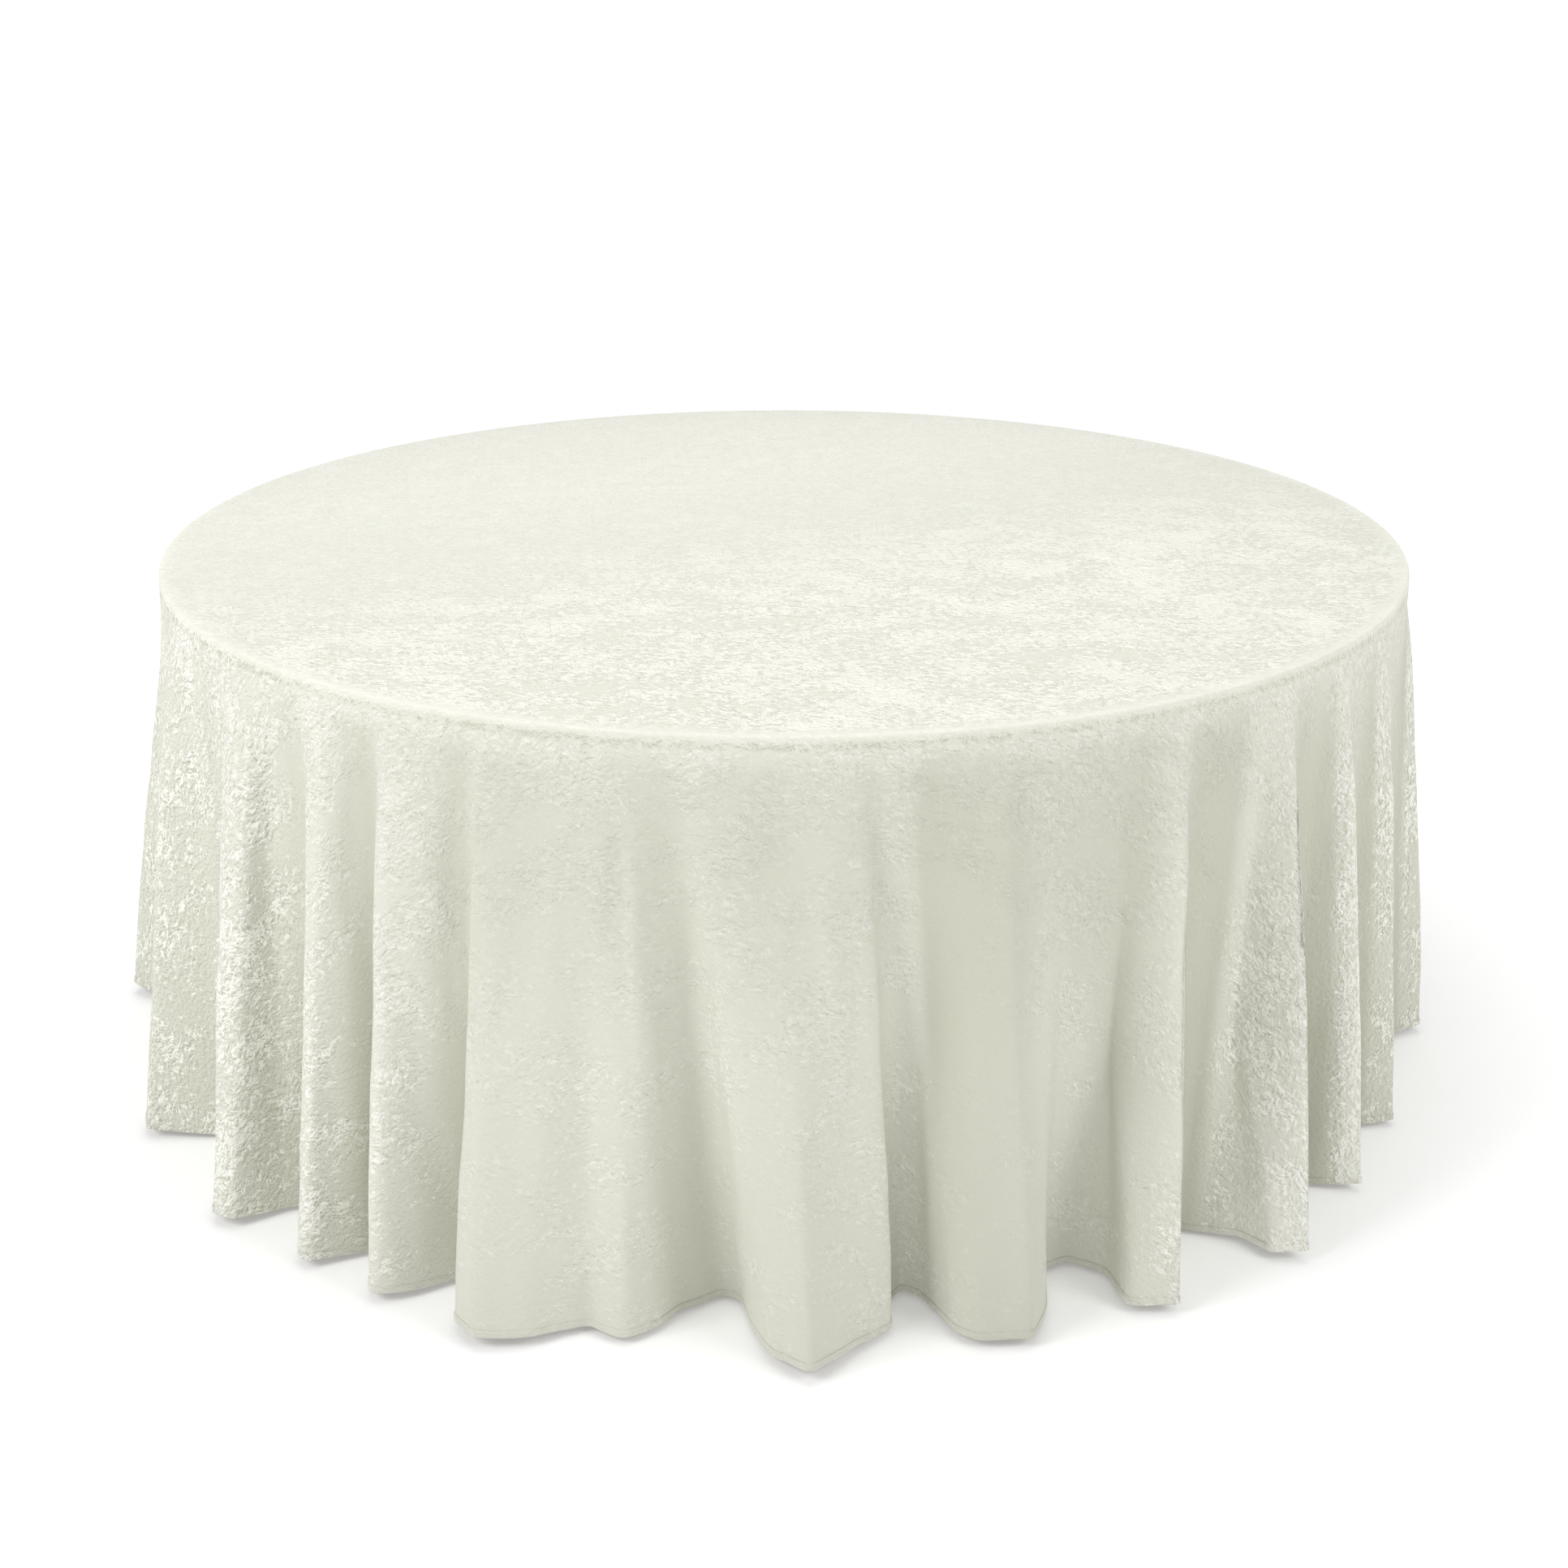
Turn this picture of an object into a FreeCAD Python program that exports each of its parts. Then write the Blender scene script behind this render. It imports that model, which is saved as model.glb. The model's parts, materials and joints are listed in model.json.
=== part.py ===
import FreeCAD, Part
import Sketcher
import math
import os
import re

# A round folding banquet table under a floor-length velvet cloth.
#
# The origin is on the floor under the middle of the table, +Z is up and sizes are millimetres.
# The two leg frames hinge near the left (-X) and right (+X) edges and fold towards the middle.
# "near" pieces are on the -Y side and "far" pieces on the +Y side.

# ---------------------------------------------------------------- driving dimensions

SIZES = {
    # table top: a 72 inch round, 30 inches high
    "table_radius": 914.4,
    "table_height": 762.0,
    "panel_thickness": 18.0,
    "band_width": 6.0,
    "band_rounding": 5.0,
    # wooden runners and rails under the top
    "runner_offset": 410.0,
    "runner_half_length": 780.0,
    "runner_half_width": 19.0,
    "runner_depth": 22.0,
    "rail_half_width": 30.0,
    "wood_rounding": 3.0,
    # leg frames
    "hinge_reach": 720.0,
    "hinge_height": 700.0,
    "hinge_tube_radius": 12.7,
    "hinge_tube_half_length": 425.0,
    "leg_offset": 360.0,
    "leg_radius": 14.3,
    "tube_wall": 1.2,
    "bore_overrun": 1.0,
    "splay_degrees": 3.0,
    "spreader_drop": 520.0,
    "cross_bar_radius": 11.0,
    # foot caps
    "foot_pad": 5.0,
    "foot_cap_radius": 17.0,
    "foot_cap_height": 30.0,
    # bent plate brackets: a screwed plate with a round-ended tab that hangs from one long edge
    "plate_thickness": 3.0,
    "plate_half_length": 32.0,
    "plate_width": 34.0,
    "bracket_screw_reach": 23.0,
    "bracket_screw_inset": 19.0,
    "hinge_tab_radius": 19.0,
    "brace_tab_radius": 14.0,
    # two-part braces
    "brace_pivot_reach": 300.0,
    "brace_bar_drop": 240.0,
    "link_thickness": 4.0,
    "link_half_width": 10.0,
    "link_half_gap": 0.5,
    "tab_gap": 1.0,
    "eye_radius": 17.0,
    "rivet_radius": 4.0,
    "rivet_head_radius": 7.0,
    "rivet_head_height": 2.0,
    "collar_radius": 14.0,
    "collar_width": 5.0,
    "running_clearance": 0.1,
    # screws
    "screw_radius": 2.1,
    "screw_head_radius": 4.5,
    "screw_neck_radius": 3.4,
    "screw_head_height": 2.5,
    "panel_screw_length": 34.0,
    "bracket_screw_length": 20.0,
    # cloth
    "cloth_thickness": 2.0,
    "cloth_rest_gap": 0.3,
    "cloth_rim_radius": 918.0,
    "cloth_rim_rounding": 8.0,
    "fold_count": 28.0,
    "fold_half_depth": 68.5,
    "fold_growth_length": 150.0,
    "hem_gap": 8.0,
    "hem_height": 12.0,
    "hem_bulge": 0.6,
}


def derived_sizes(sizes):
    """Sizes that follow from the driving ones.

    The brace links come from the triangle of hinge, upper pivot and brace bar: with the legs
    standing they lie in one straight line, and with the legs folded they lie back along one
    level line, which fixes both lengths.
    """
    splay = math.radians(sizes["splay_degrees"])
    run = sizes["brace_pivot_reach"] + sizes["brace_bar_drop"] * math.sin(splay)
    rise = sizes["brace_bar_drop"] * math.cos(splay)
    straight_length = math.hypot(run, rise)
    folded_length = sizes["brace_pivot_reach"] - sizes["brace_bar_drop"]
    under_runners = sizes["table_height"] - sizes["panel_thickness"] - sizes["runner_depth"]
    return {
        "upper_link_length": (straight_length - folded_length) / 2,
        "lower_link_length": (straight_length + folded_length) / 2,
        "brace_slope_degrees": math.degrees(math.atan2(rise, run)),
        "plate_height": under_runners - sizes["plate_thickness"],
        "tab_drop": under_runners - sizes["plate_thickness"] - sizes["hinge_height"],
        "hinge_hole_radius": sizes["hinge_tube_radius"] + sizes["running_clearance"],
        "eye_hole_radius": sizes["cross_bar_radius"] + sizes["running_clearance"],
        "pivot_hole_radius": sizes["rivet_radius"] + sizes["running_clearance"],
        "band_inner_radius": sizes["table_radius"] - sizes["band_width"],
        "leg_length": sizes["hinge_height"] / math.cos(splay),
        "rail_half_length": sizes["runner_offset"] - sizes["runner_half_width"],
    }


SIZES.update(derived_sizes(SIZES))
SHEET_NAMES = {alias: "Sizes." + alias for alias in SIZES}

X_AXIS = FreeCAD.Vector(1, 0, 0)
Y_AXIS = FreeCAD.Vector(0, 1, 0)
Z_AXIS = FreeCAD.Vector(0, 0, 1)
SIDES = {"left": -1, "right": 1}
ROWS = {"near": -1, "far": 1}

# Sketcher's own numbers for the sketch axes and for the points of a line, arc or circle.
H_AXIS, V_AXIS = -1, -2
START, END, CENTRE = 1, 2, 3

# Any turn but none, so that a placement keeps its axis until its own angle is bound.
FIRST_TURN = 45

FULL_TURN = 2 * math.pi

# The edge band is drawn in this many equal arcs, so that its two walls divide alike.
BAND_ARCS = 24

# An edge longer than this many half lengths of a bar is one of its long edges.
LONG_EDGE = 1.9

# Screw places along X on each runner, and along Y on each rail.
RUNNER_SCREW_PLACES = (-600, -300, 0, 300, 600)
RAIL_SCREW_PLACES = (-300, -100, 100, 300)

doc = FreeCAD.newDocument("TableclothOnTable")
nodes = []


def fill_sheet():
    sheet = doc.addObject("Spreadsheet::Sheet", "Sizes")
    for row, (alias, value) in enumerate(SIZES.items(), start=1):
        sheet.set("A%d" % row, alias.replace("_", " "))
        sheet.set("B%d" % row, "%.9g" % value)
        sheet.setAlias("B%d" % row, alias)
    doc.recompute()


# ---------------------------------------------------------------- general helpers


def as_node(item, label):
    """Give a finished sub-part its name and list it for export."""
    item.Label = label
    nodes.append(item)
    return item


def on_sheet(text):
    """A size expression, with the sheet's name put in front of every size name in it."""
    return re.sub("[a-z_]+", lambda word: SHEET_NAMES.get(word.group(), word.group()), text)


def bind(item, **expressions):
    for name, text in expressions.items():
        item.setExpression(name, on_sheet(text))
    return item


def place(item, x="0", y="0", z="0", axis=Y_AXIS, turn="0"):
    """Bind a sub-part's position, and its turn in degrees about one axis."""
    item.Placement = FreeCAD.Placement(FreeCAD.Vector(), FreeCAD.Rotation(axis, FIRST_TURN))
    item.setExpression("Placement.Base.x", on_sheet(x))
    item.setExpression("Placement.Base.y", on_sheet(y))
    item.setExpression("Placement.Base.z", on_sheet(z))
    item.setExpression("Placement.Rotation.Angle", on_sheet(turn))
    return item


def cylinder(name, radius, height):
    return bind(doc.addObject("Part::Cylinder", name), Radius=radius, Height=height)


def cut(name, base, *tools):
    """The base with each tool taken away in turn."""
    for number, tool in enumerate(tools, start=1):
        result = doc.addObject("Part::Cut", "%s_cut_%d" % (name, number))
        result.Base = base
        result.Tool = tool
        base = result
    return base


def compound(name, members):
    result = doc.addObject("Part::Compound", name)
    result.Links = members
    return result


# ---------------------------------------------------------------- sketch and body helpers


def new_body(name):
    return doc.addObject("PartDesign::Body", name)


def new_sketch(body, name, role):
    """A sketch on one of the body's own origin planes."""
    plane = next(item for item in body.Origin.OriginFeatures if item.Role == role)
    sketch = body.newObject("Sketcher::SketchObject", name)
    sketch.AttachmentSupport = [(plane, "")]
    sketch.MapMode = "FlatFace"
    return sketch


def amount(text):
    """The value of a size name that may have a minus sign, or of "0"."""
    size = SIZES.get(text.lstrip("-"), 0.0)
    return -size if text.startswith("-") else size


def fix_coordinate(sketch, kind, point, text):
    """Hold one coordinate of a point at a signed size, or on the axis when it is "0"."""
    if text == "0":
        axis = V_AXIS if kind == "DistanceX" else H_AXIS
        sketch.addConstraint(Sketcher.Constraint("PointOnObject", point[0], point[1], axis))
        return
    constraint = Sketcher.Constraint(kind, H_AXIS, START, point[0], point[1], amount(text))
    index = sketch.addConstraint(constraint)
    sign = "-" if text.startswith("-") else ""
    sketch.setExpression("Constraints[%d]" % index, sign + "Sizes." + text.lstrip("-"))


def fix_point(sketch, point, x, y):
    fix_coordinate(sketch, "DistanceX", point, x)
    fix_coordinate(sketch, "DistanceY", point, y)


def fix_radius(sketch, curve, radius):
    index = sketch.addConstraint(Sketcher.Constraint("Radius", curve, SIZES[radius]))
    sketch.setExpression("Constraints[%d]" % index, "Sizes." + radius)


def draw_circle(sketch, radius, x="0", y="0"):
    middle = FreeCAD.Vector(amount(x), amount(y), 0)
    circle = sketch.addGeometry(Part.Circle(middle, Z_AXIS, SIZES[radius]))
    fix_radius(sketch, circle, radius)
    fix_point(sketch, (circle, CENTRE), x, y)


def draw_arc_ring(sketch, radius):
    """A circle round the sketch's origin, drawn as equal arcs that share their ends.

    The last arc is held by its ends and its radius, since a centre as well would say it twice.
    """
    circle = Part.Circle(FreeCAD.Vector(), Z_AXIS, SIZES[radius])
    step = FULL_TURN / BAND_ARCS
    arcs = [
        sketch.addGeometry(Part.ArcOfCircle(circle, number * step, (number + 1) * step))
        for number in range(BAND_ARCS)
    ]
    for number, arc in enumerate(arcs):
        following = arcs[(number + 1) % BAND_ARCS]
        sketch.addConstraint(Sketcher.Constraint("Coincident", arc, END, following, START))
    for arc in arcs[:-1]:
        sketch.addConstraint(Sketcher.Constraint("Coincident", arc, CENTRE, H_AXIS, START))
    sketch.addConstraint(Sketcher.Constraint("Equal", arcs[0], arcs[-1]))
    fix_radius(sketch, arcs[0], radius)


def draw_polygon(sketch, corners):
    """Straight lines through corners that are pairs of signed size names."""
    points = [FreeCAD.Vector(amount(x), amount(y), 0) for x, y in corners]
    count = len(points)
    for number in range(count):
        line = Part.LineSegment(points[number], points[(number + 1) % count])
        sketch.addGeometry(line)
    for number in range(count):
        following = (number + 1) % count
        sketch.addConstraint(Sketcher.Constraint("Coincident", number, END, following, START))
    for number, (x, y) in enumerate(corners):
        fix_point(sketch, (number, START), x, y)


def draw_slot(sketch, length, half_width):
    """A round-ended bar from the sketch's origin along its X axis."""
    reach = SIZES[length]
    width = SIZES[half_width]
    near_end = FreeCAD.Vector(0, 0, 0)
    far_end = FreeCAD.Vector(reach, 0, 0)
    quarter = math.pi / 2
    near_circle = Part.Circle(near_end, Z_AXIS, width)
    far_circle = Part.Circle(far_end, Z_AXIS, width)
    near_arc = sketch.addGeometry(Part.ArcOfCircle(near_circle, quarter, 3 * quarter))
    far_arc = sketch.addGeometry(Part.ArcOfCircle(far_circle, -quarter, quarter))
    lower = sketch.addGeometry(
        Part.LineSegment(FreeCAD.Vector(0, -width, 0), FreeCAD.Vector(reach, -width, 0)))
    upper = sketch.addGeometry(
        Part.LineSegment(FreeCAD.Vector(reach, width, 0), FreeCAD.Vector(0, width, 0)))
    sketch.addConstraint([
        Sketcher.Constraint("Tangent", near_arc, END, lower, START),
        Sketcher.Constraint("Tangent", lower, END, far_arc, START),
        Sketcher.Constraint("Tangent", far_arc, END, upper, START),
        Sketcher.Constraint("Tangent", upper, END, near_arc, START),
    ])
    fix_point(sketch, (near_arc, CENTRE), "0", "0")
    fix_point(sketch, (far_arc, CENTRE), length, "0")
    fix_radius(sketch, near_arc, half_width)


def pad(body, sketch, length, reverse=False):
    feature = body.newObject("PartDesign::Pad", sketch.Name + "_pad")
    feature.Profile = sketch
    feature.setExpression("Length", on_sheet(length))
    feature.Reversed = reverse
    sketch.Visibility = False
    return feature


def pocket_through(body, sketch):
    """Cut a sketch right through the solid on both sides of its plane."""
    feature = body.newObject("PartDesign::Pocket", sketch.Name + "_pocket")
    feature.Profile = sketch
    feature.Type = "ThroughAll"
    feature.Midplane = True
    return feature


def round_edges(body, feature, chosen, radius):
    """Round the edges of a feature for which chosen(edge) is true."""
    doc.recompute()
    names = [
        "Edge%d" % number
        for number, edge in enumerate(feature.Shape.Edges, start=1)
        if chosen(edge)
    ]
    fillet = body.newObject("PartDesign::Fillet", feature.Name + "_fillet")
    fillet.Base = (feature, names)
    fillet.setExpression("Radius", on_sheet(radius))
    return fillet


# ---------------------------------------------------------------- screws


def screw(name, length):
    """A pan-head screw that points up, with the underside of its head at its own origin."""
    shank = cylinder(name + "_shank", "screw_radius", length)
    head = doc.addObject("Part::Cone", name + "_head")
    bind(head, Radius1="screw_neck_radius", Radius2="screw_head_radius", Height="screw_head_height")
    head.setExpression("Placement.Base.z", "-Sizes.screw_head_height")
    body = doc.addObject("Part::Fuse", name)
    body.Base = shank
    body.Tool = head
    return body


def panel_screws():
    """The screws that hold the runners and the rails up against the panel."""
    screws = []
    height = "table_height - panel_thickness - runner_depth"
    for row, sign in ROWS.items():
        for number, along in enumerate(RUNNER_SCREW_PLACES, start=1):
            item = screw("runner_screw_%s_%d" % (row, number), "panel_screw_length")
            screws.append(place(item, str(along), "%d * runner_offset" % sign, height))
    for side, sign in SIDES.items():
        for number, along in enumerate(RAIL_SCREW_PLACES, start=1):
            item = screw("rail_screw_%s_%d" % (side, number), "panel_screw_length")
            middle = "%d * ( hinge_reach - brace_pivot_reach )" % sign
            screws.append(place(item, middle, str(along), height))
    return compound("panel_screws", screws)


def bracket_screws():
    """Two screws through the plate of each hinge bracket and each brace bracket."""
    screws = []
    for side, side_sign in SIDES.items():
        for end in (-1, 1):
            for row, row_sign in ROWS.items():
                x = "%d * hinge_reach + %d * bracket_screw_reach" % (side_sign, end)
                y = "%d * runner_offset" % row_sign
                item = screw("hinge_screw_%s_%s_%d" % (side, row, end + 1), "bracket_screw_length")
                screws.append(place(item, x, y, "plate_height"))
            x = "%d * ( hinge_reach - brace_pivot_reach ) + %d * bracket_screw_reach"
            y = "link_half_gap + link_thickness + tab_gap + plate_thickness - bracket_screw_inset"
            item = screw("brace_screw_%s_%d" % (side, end + 1), "bracket_screw_length")
            screws.append(place(item, x % (side_sign, end), y, "plate_height"))
    return compound("bracket_screws", screws)


# ---------------------------------------------------------------- table top


def table_panel(screws):
    """The plywood disc, drilled for the screws that hold the runners and rails."""
    body = new_body("panel_body")
    sketch = new_sketch(body, "panel_outline", "XY_Plane")
    draw_circle(sketch, "band_inner_radius")
    pad(body, sketch, "panel_thickness")
    place(body, z="table_height - panel_thickness")
    as_node(cut("table_top", body, screws), "table_top")


def edge_band():
    """The ring of moulding around the panel, with both outer corners rounded."""
    body = new_body("edge_band_body")
    sketch = new_sketch(body, "band_outline", "XY_Plane")
    draw_arc_ring(sketch, "table_radius")
    draw_arc_ring(sketch, "band_inner_radius")
    ring = pad(body, sketch, "panel_thickness")
    ring.Refine = False
    middle_radius = (SIZES["table_radius"] + SIZES["band_inner_radius"]) / 2
    rounded = round_edges(
        body, ring,
        lambda edge: hasattr(edge.Curve, "Radius") and edge.Curve.Radius > middle_radius,
        "band_rounding")
    rounded.Refine = False
    place(body, z="table_height - panel_thickness")
    as_node(body, "edge_band")


def wooden_bar(name, half_length, half_width):
    """A straight bar along X whose two lower long edges are eased."""
    body = new_body(name + "_body")
    sketch = new_sketch(body, name + "_outline", "XY_Plane")
    draw_polygon(sketch, [
        ("-" + half_length, "-" + half_width),
        (half_length, "-" + half_width),
        (half_length, half_width),
        ("-" + half_length, half_width),
    ])
    bar = pad(body, sketch, "runner_depth")
    shortest = LONG_EDGE * SIZES[half_length]
    round_edges(
        body, bar,
        lambda edge: edge.Length > shortest and edge.CenterOfMass.z < SIZES["wood_rounding"],
        "wood_rounding")
    return body


def runners(*screws):
    """The two long runners that the hinge brackets are screwed to."""
    for row, sign in ROWS.items():
        bar = wooden_bar("runner_" + row, "runner_half_length", "runner_half_width")
        place(bar, y="%d * runner_offset" % sign, z="table_height - panel_thickness - runner_depth")
        as_node(cut("runner_" + row, bar, *screws), "runner_" + row)


def brace_rails(*screws):
    """A rail between the runners on each side, which carries the brace bracket."""
    for side, sign in SIDES.items():
        bar = wooden_bar("brace_rail_" + side, "rail_half_length", "rail_half_width")
        place(
            bar,
            x="%d * ( hinge_reach - brace_pivot_reach )" % sign,
            z="table_height - panel_thickness - runner_depth",
            axis=Z_AXIS, turn="90")
        as_node(cut("brace_rail_" + side, bar, *screws), "brace_rail_" + side)


# ---------------------------------------------------------------- brackets


def bracket_body(name, tab_radius, hole_radius):
    """A bent plate bracket.

    Its own origin is on the plate's lower face, on the outer face of the tab, above the pivot.
    The tab hangs along the plate's edge at Y = 0 and the plate reaches away to +Y.
    """
    body = new_body(name + "_body")
    plate = new_sketch(body, name + "_plate", "XY_Plane")
    draw_polygon(plate, [
        ("-plate_half_length", "0"),
        ("plate_half_length", "0"),
        ("plate_half_length", "plate_width"),
        ("-plate_half_length", "plate_width"),
    ])
    pad(body, plate, "plate_thickness")
    tab = new_sketch(body, name + "_tab", "XZ_Plane")
    draw_polygon(tab, [
        ("-" + tab_radius, "0"),
        ("-" + tab_radius, "-tab_drop"),
        (tab_radius, "-tab_drop"),
        (tab_radius, "0"),
    ])
    pad(body, tab, "plate_thickness", reverse=True)
    tip = new_sketch(body, name + "_tip", "XZ_Plane")
    draw_circle(tip, tab_radius, y="-tab_drop")
    pad(body, tip, "plate_thickness", reverse=True)
    pivot = new_sketch(body, name + "_pivot", "XZ_Plane")
    draw_circle(pivot, hole_radius, y="-tab_drop")
    pocket_through(body, pivot)
    holes = new_sketch(body, name + "_screw_holes", "XY_Plane")
    for x in ("-bracket_screw_reach", "bracket_screw_reach"):
        draw_circle(holes, "screw_radius", x=x, y="bracket_screw_inset")
    pocket_through(body, holes)
    return body


def hinge_brackets():
    """Four brackets under the runners; the tabs face the middle of the table."""
    for side, side_sign in SIDES.items():
        for row, row_sign in ROWS.items():
            name = "hinge_bracket_%s_%s" % (side, row)
            body = bracket_body(name, "hinge_tab_radius", "hinge_hole_radius")
            place(
                body,
                x="%d * hinge_reach" % side_sign,
                y="%d * ( runner_offset - bracket_screw_inset )" % row_sign,
                z="plate_height",
                axis=Z_AXIS, turn="90 - %d * 90" % row_sign)
            as_node(body, name)


def brace_brackets():
    """One bracket under each rail; its tab stands beside the upper link."""
    for side, sign in SIDES.items():
        name = "brace_bracket_" + side
        body = bracket_body(name, "brace_tab_radius", "rivet_radius")
        place(
            body,
            x="%d * ( hinge_reach - brace_pivot_reach )" % sign,
            y="link_half_gap + link_thickness + tab_gap + plate_thickness",
            z="plate_height",
            axis=Z_AXIS, turn="180")
        as_node(body, name)


# ---------------------------------------------------------------- leg frames


def down_the_leg(sign, distance):
    """X and Z expressions of the point a distance down a leg from its hinge axis."""
    x = "%d * ( hinge_reach + ( %s ) * sin(splay_degrees) )" % (sign, distance)
    z = "hinge_height - ( %s ) * cos(splay_degrees)" % distance
    return x, z


def cross_cylinder(name, sign, distance, radius, half_length):
    """A solid bar along Y, centred, a distance down the leg from the hinge axis."""
    x, z = down_the_leg(sign, distance)
    bar = cylinder(name, radius, "2 * ( %s )" % half_length)
    return place(bar, x, "-1 * ( %s )" % half_length, z, axis=X_AXIS, turn="-90")


def leg_cylinder(name, sign, row_sign, radius, lower_end, length):
    """A solid bar that runs up a leg's centre line from a point the given distance down it."""
    x, z = down_the_leg(sign, lower_end)
    bar = cylinder(name, radius, length)
    return place(bar, x, "%d * leg_offset" % row_sign, z, turn="%d * splay_degrees" % -sign)


def leg_frame(side, sign, floor):
    """Hinge tube, two splayed legs, two cross bars, two foot caps and the brace collars."""
    hinge_solid = cross_cylinder(
        "hinge_solid_" + side, sign, "0", "hinge_tube_radius", "hinge_tube_half_length")
    hinge_bore = cross_cylinder(
        "hinge_bore_" + side, sign, "0", "hinge_tube_radius - tube_wall",
        "hinge_tube_half_length + bore_overrun")
    as_node(cut("hinge_tube_" + side, hinge_solid, hinge_bore), "hinge_tube_" + side)

    leg_solids = []
    for row, row_sign in ROWS.items():
        ending = "%s_%s" % (side, row)
        leg_end = "leg_length - foot_pad"
        leg_solid = leg_cylinder(
            "leg_solid_" + ending, sign, row_sign, "leg_radius", leg_end, leg_end)
        bore_end = leg_end + " + bore_overrun"
        leg_bore = leg_cylinder(
            "leg_bore_" + ending, sign, row_sign, "leg_radius - tube_wall", bore_end, bore_end)
        leg_solids.append(leg_solid)
        as_node(cut("leg_" + ending, leg_solid, leg_bore, hinge_solid), "leg_" + ending)
        cap_solid = leg_cylinder(
            "cap_solid_" + ending, sign, row_sign, "foot_cap_radius",
            "leg_length + foot_pad", "2 * foot_pad + foot_cap_height")
        as_node(cut("foot_cap_" + ending, cap_solid, leg_solid, floor), "foot_cap_" + ending)

    for bar, distance in (("brace_bar", "brace_bar_drop"), ("spreader_bar", "spreader_drop")):
        name = "%s_%s" % (bar, side)
        solid = cross_cylinder(name + "_solid", sign, distance, "cross_bar_radius", "leg_offset")
        bore = cross_cylinder(
            name + "_bore", sign, distance, "cross_bar_radius - tube_wall",
            "leg_offset + bore_overrun")
        as_node(cut(name, solid, bore, *leg_solids), name)

    collars = [brace_collar(side, sign, end) for end in (-1, 1)]
    as_node(compound("brace_collars_" + side, collars), "brace_collars_" + side)


def brace_collar(side, sign, end):
    """A ring on the brace bar that keeps the lower link from sliding along it."""
    name = "collar_%s_%d" % (side, end + 1)
    x, z = down_the_leg(sign, "brace_bar_drop")
    link_middle = "-1 * ( link_half_gap + link_thickness / 2 )"
    offset = "link_thickness / 2 + link_half_gap + collar_width / 2"
    start = "%s + %d * ( %s ) - collar_width / 2" % (link_middle, end, offset)
    outside = place(
        cylinder(name + "_outside", "collar_radius", "collar_width"), x, start, z, X_AXIS, "-90")
    bore = place(
        cylinder(name + "_bore", "cross_bar_radius", "collar_width + 2 * bore_overrun"),
        x, start + " - bore_overrun", z, X_AXIS, "-90")
    return cut(name, outside, bore)


# ---------------------------------------------------------------- braces


def upper_link(side, sign):
    """The short upper link, from the bracket's pivot pin to the knee."""
    body = new_body("upper_link_%s_body" % side)
    outline = new_sketch(body, "upper_link_%s_outline" % side, "XZ_Plane")
    draw_slot(outline, "upper_link_length", "link_half_width")
    pad(body, outline, "link_thickness", reverse=True)
    pivot = new_sketch(body, "upper_link_%s_pivot" % side, "XZ_Plane")
    draw_circle(pivot, "pivot_hole_radius")
    draw_circle(pivot, "rivet_radius", x="upper_link_length")
    pocket_through(body, pivot)
    place(
        body,
        x="%d * ( hinge_reach - brace_pivot_reach )" % sign,
        y="link_half_gap",
        z="hinge_height",
        turn="90 - %d * ( 90 - brace_slope_degrees )" % sign)
    as_node(body, "upper_link_" + side)


def lower_link(side, sign):
    """The long lower link, from its eye around the brace bar to the knee."""
    body = new_body("lower_link_%s_body" % side)
    outline = new_sketch(body, "lower_link_%s_outline" % side, "XZ_Plane")
    draw_slot(outline, "lower_link_length", "link_half_width")
    pad(body, outline, "link_thickness", reverse=True)
    eye = new_sketch(body, "lower_link_%s_eye" % side, "XZ_Plane")
    draw_circle(eye, "eye_radius")
    pad(body, eye, "link_thickness", reverse=True)
    holes = new_sketch(body, "lower_link_%s_holes" % side, "XZ_Plane")
    draw_circle(holes, "eye_hole_radius")
    draw_circle(holes, "rivet_radius", x="lower_link_length")
    pocket_through(body, holes)
    x, z = down_the_leg(sign, "brace_bar_drop")
    place(
        body, x, "-1 * ( link_half_gap + link_thickness )", z,
        turn="90 + %d * ( 90 + brace_slope_degrees )" % sign)
    as_node(body, "lower_link_" + side)


def rivet(name, x, z, start, shank_length, way):
    """A shank along Y from a start plane, with a flat head beyond it; way is +1 or -1."""
    head_start = "%s + %d * ( %s )" % (start, way, shank_length)
    shank = cylinder(name + "_shank", "rivet_radius", shank_length)
    head = cylinder(name + "_head", "rivet_head_radius", "rivet_head_height")
    place(shank, x, start, z, X_AXIS, "%d * 90" % -way)
    place(head, x, head_start, z, X_AXIS, "%d * 90" % -way)
    body = doc.addObject("Part::Fuse", name)
    body.Base = shank
    body.Tool = head
    return as_node(body, name)


def brace(side, sign):
    """Both links, the pin in the bracket, and the two halves of the knee rivet.

    Each half of the knee rivet stays inside its own link's plane, so the links pass each other.
    """
    upper_link(side, sign)
    lower_link(side, sign)
    pivot_x = "%d * ( hinge_reach - brace_pivot_reach )" % sign
    pin_length = "link_thickness + tab_gap + plate_thickness"
    rivet("brace_pin_" + side, pivot_x, "hinge_height", "link_half_gap", pin_length, 1)
    outward = "brace_pivot_reach - upper_link_length * cos(brace_slope_degrees)"
    knee_x = "%d * ( hinge_reach - ( %s ) )" % (sign, outward)
    knee_z = "hinge_height - upper_link_length * sin(brace_slope_degrees)"
    rivet("knee_rivet_head_" + side, knee_x, knee_z, "link_half_gap", "link_thickness", 1)
    rivet("knee_rivet_tail_" + side, knee_x, knee_z, "-1 * link_half_gap", "link_thickness", -1)


# ---------------------------------------------------------------- cloth

POINTS_PER_FOLD = 6
SKIRT_DROPS = (25, 60, 105, 165, 240, 330, 450, 590)
RIM_ANGLES = (90, 60, 30, 0)


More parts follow.
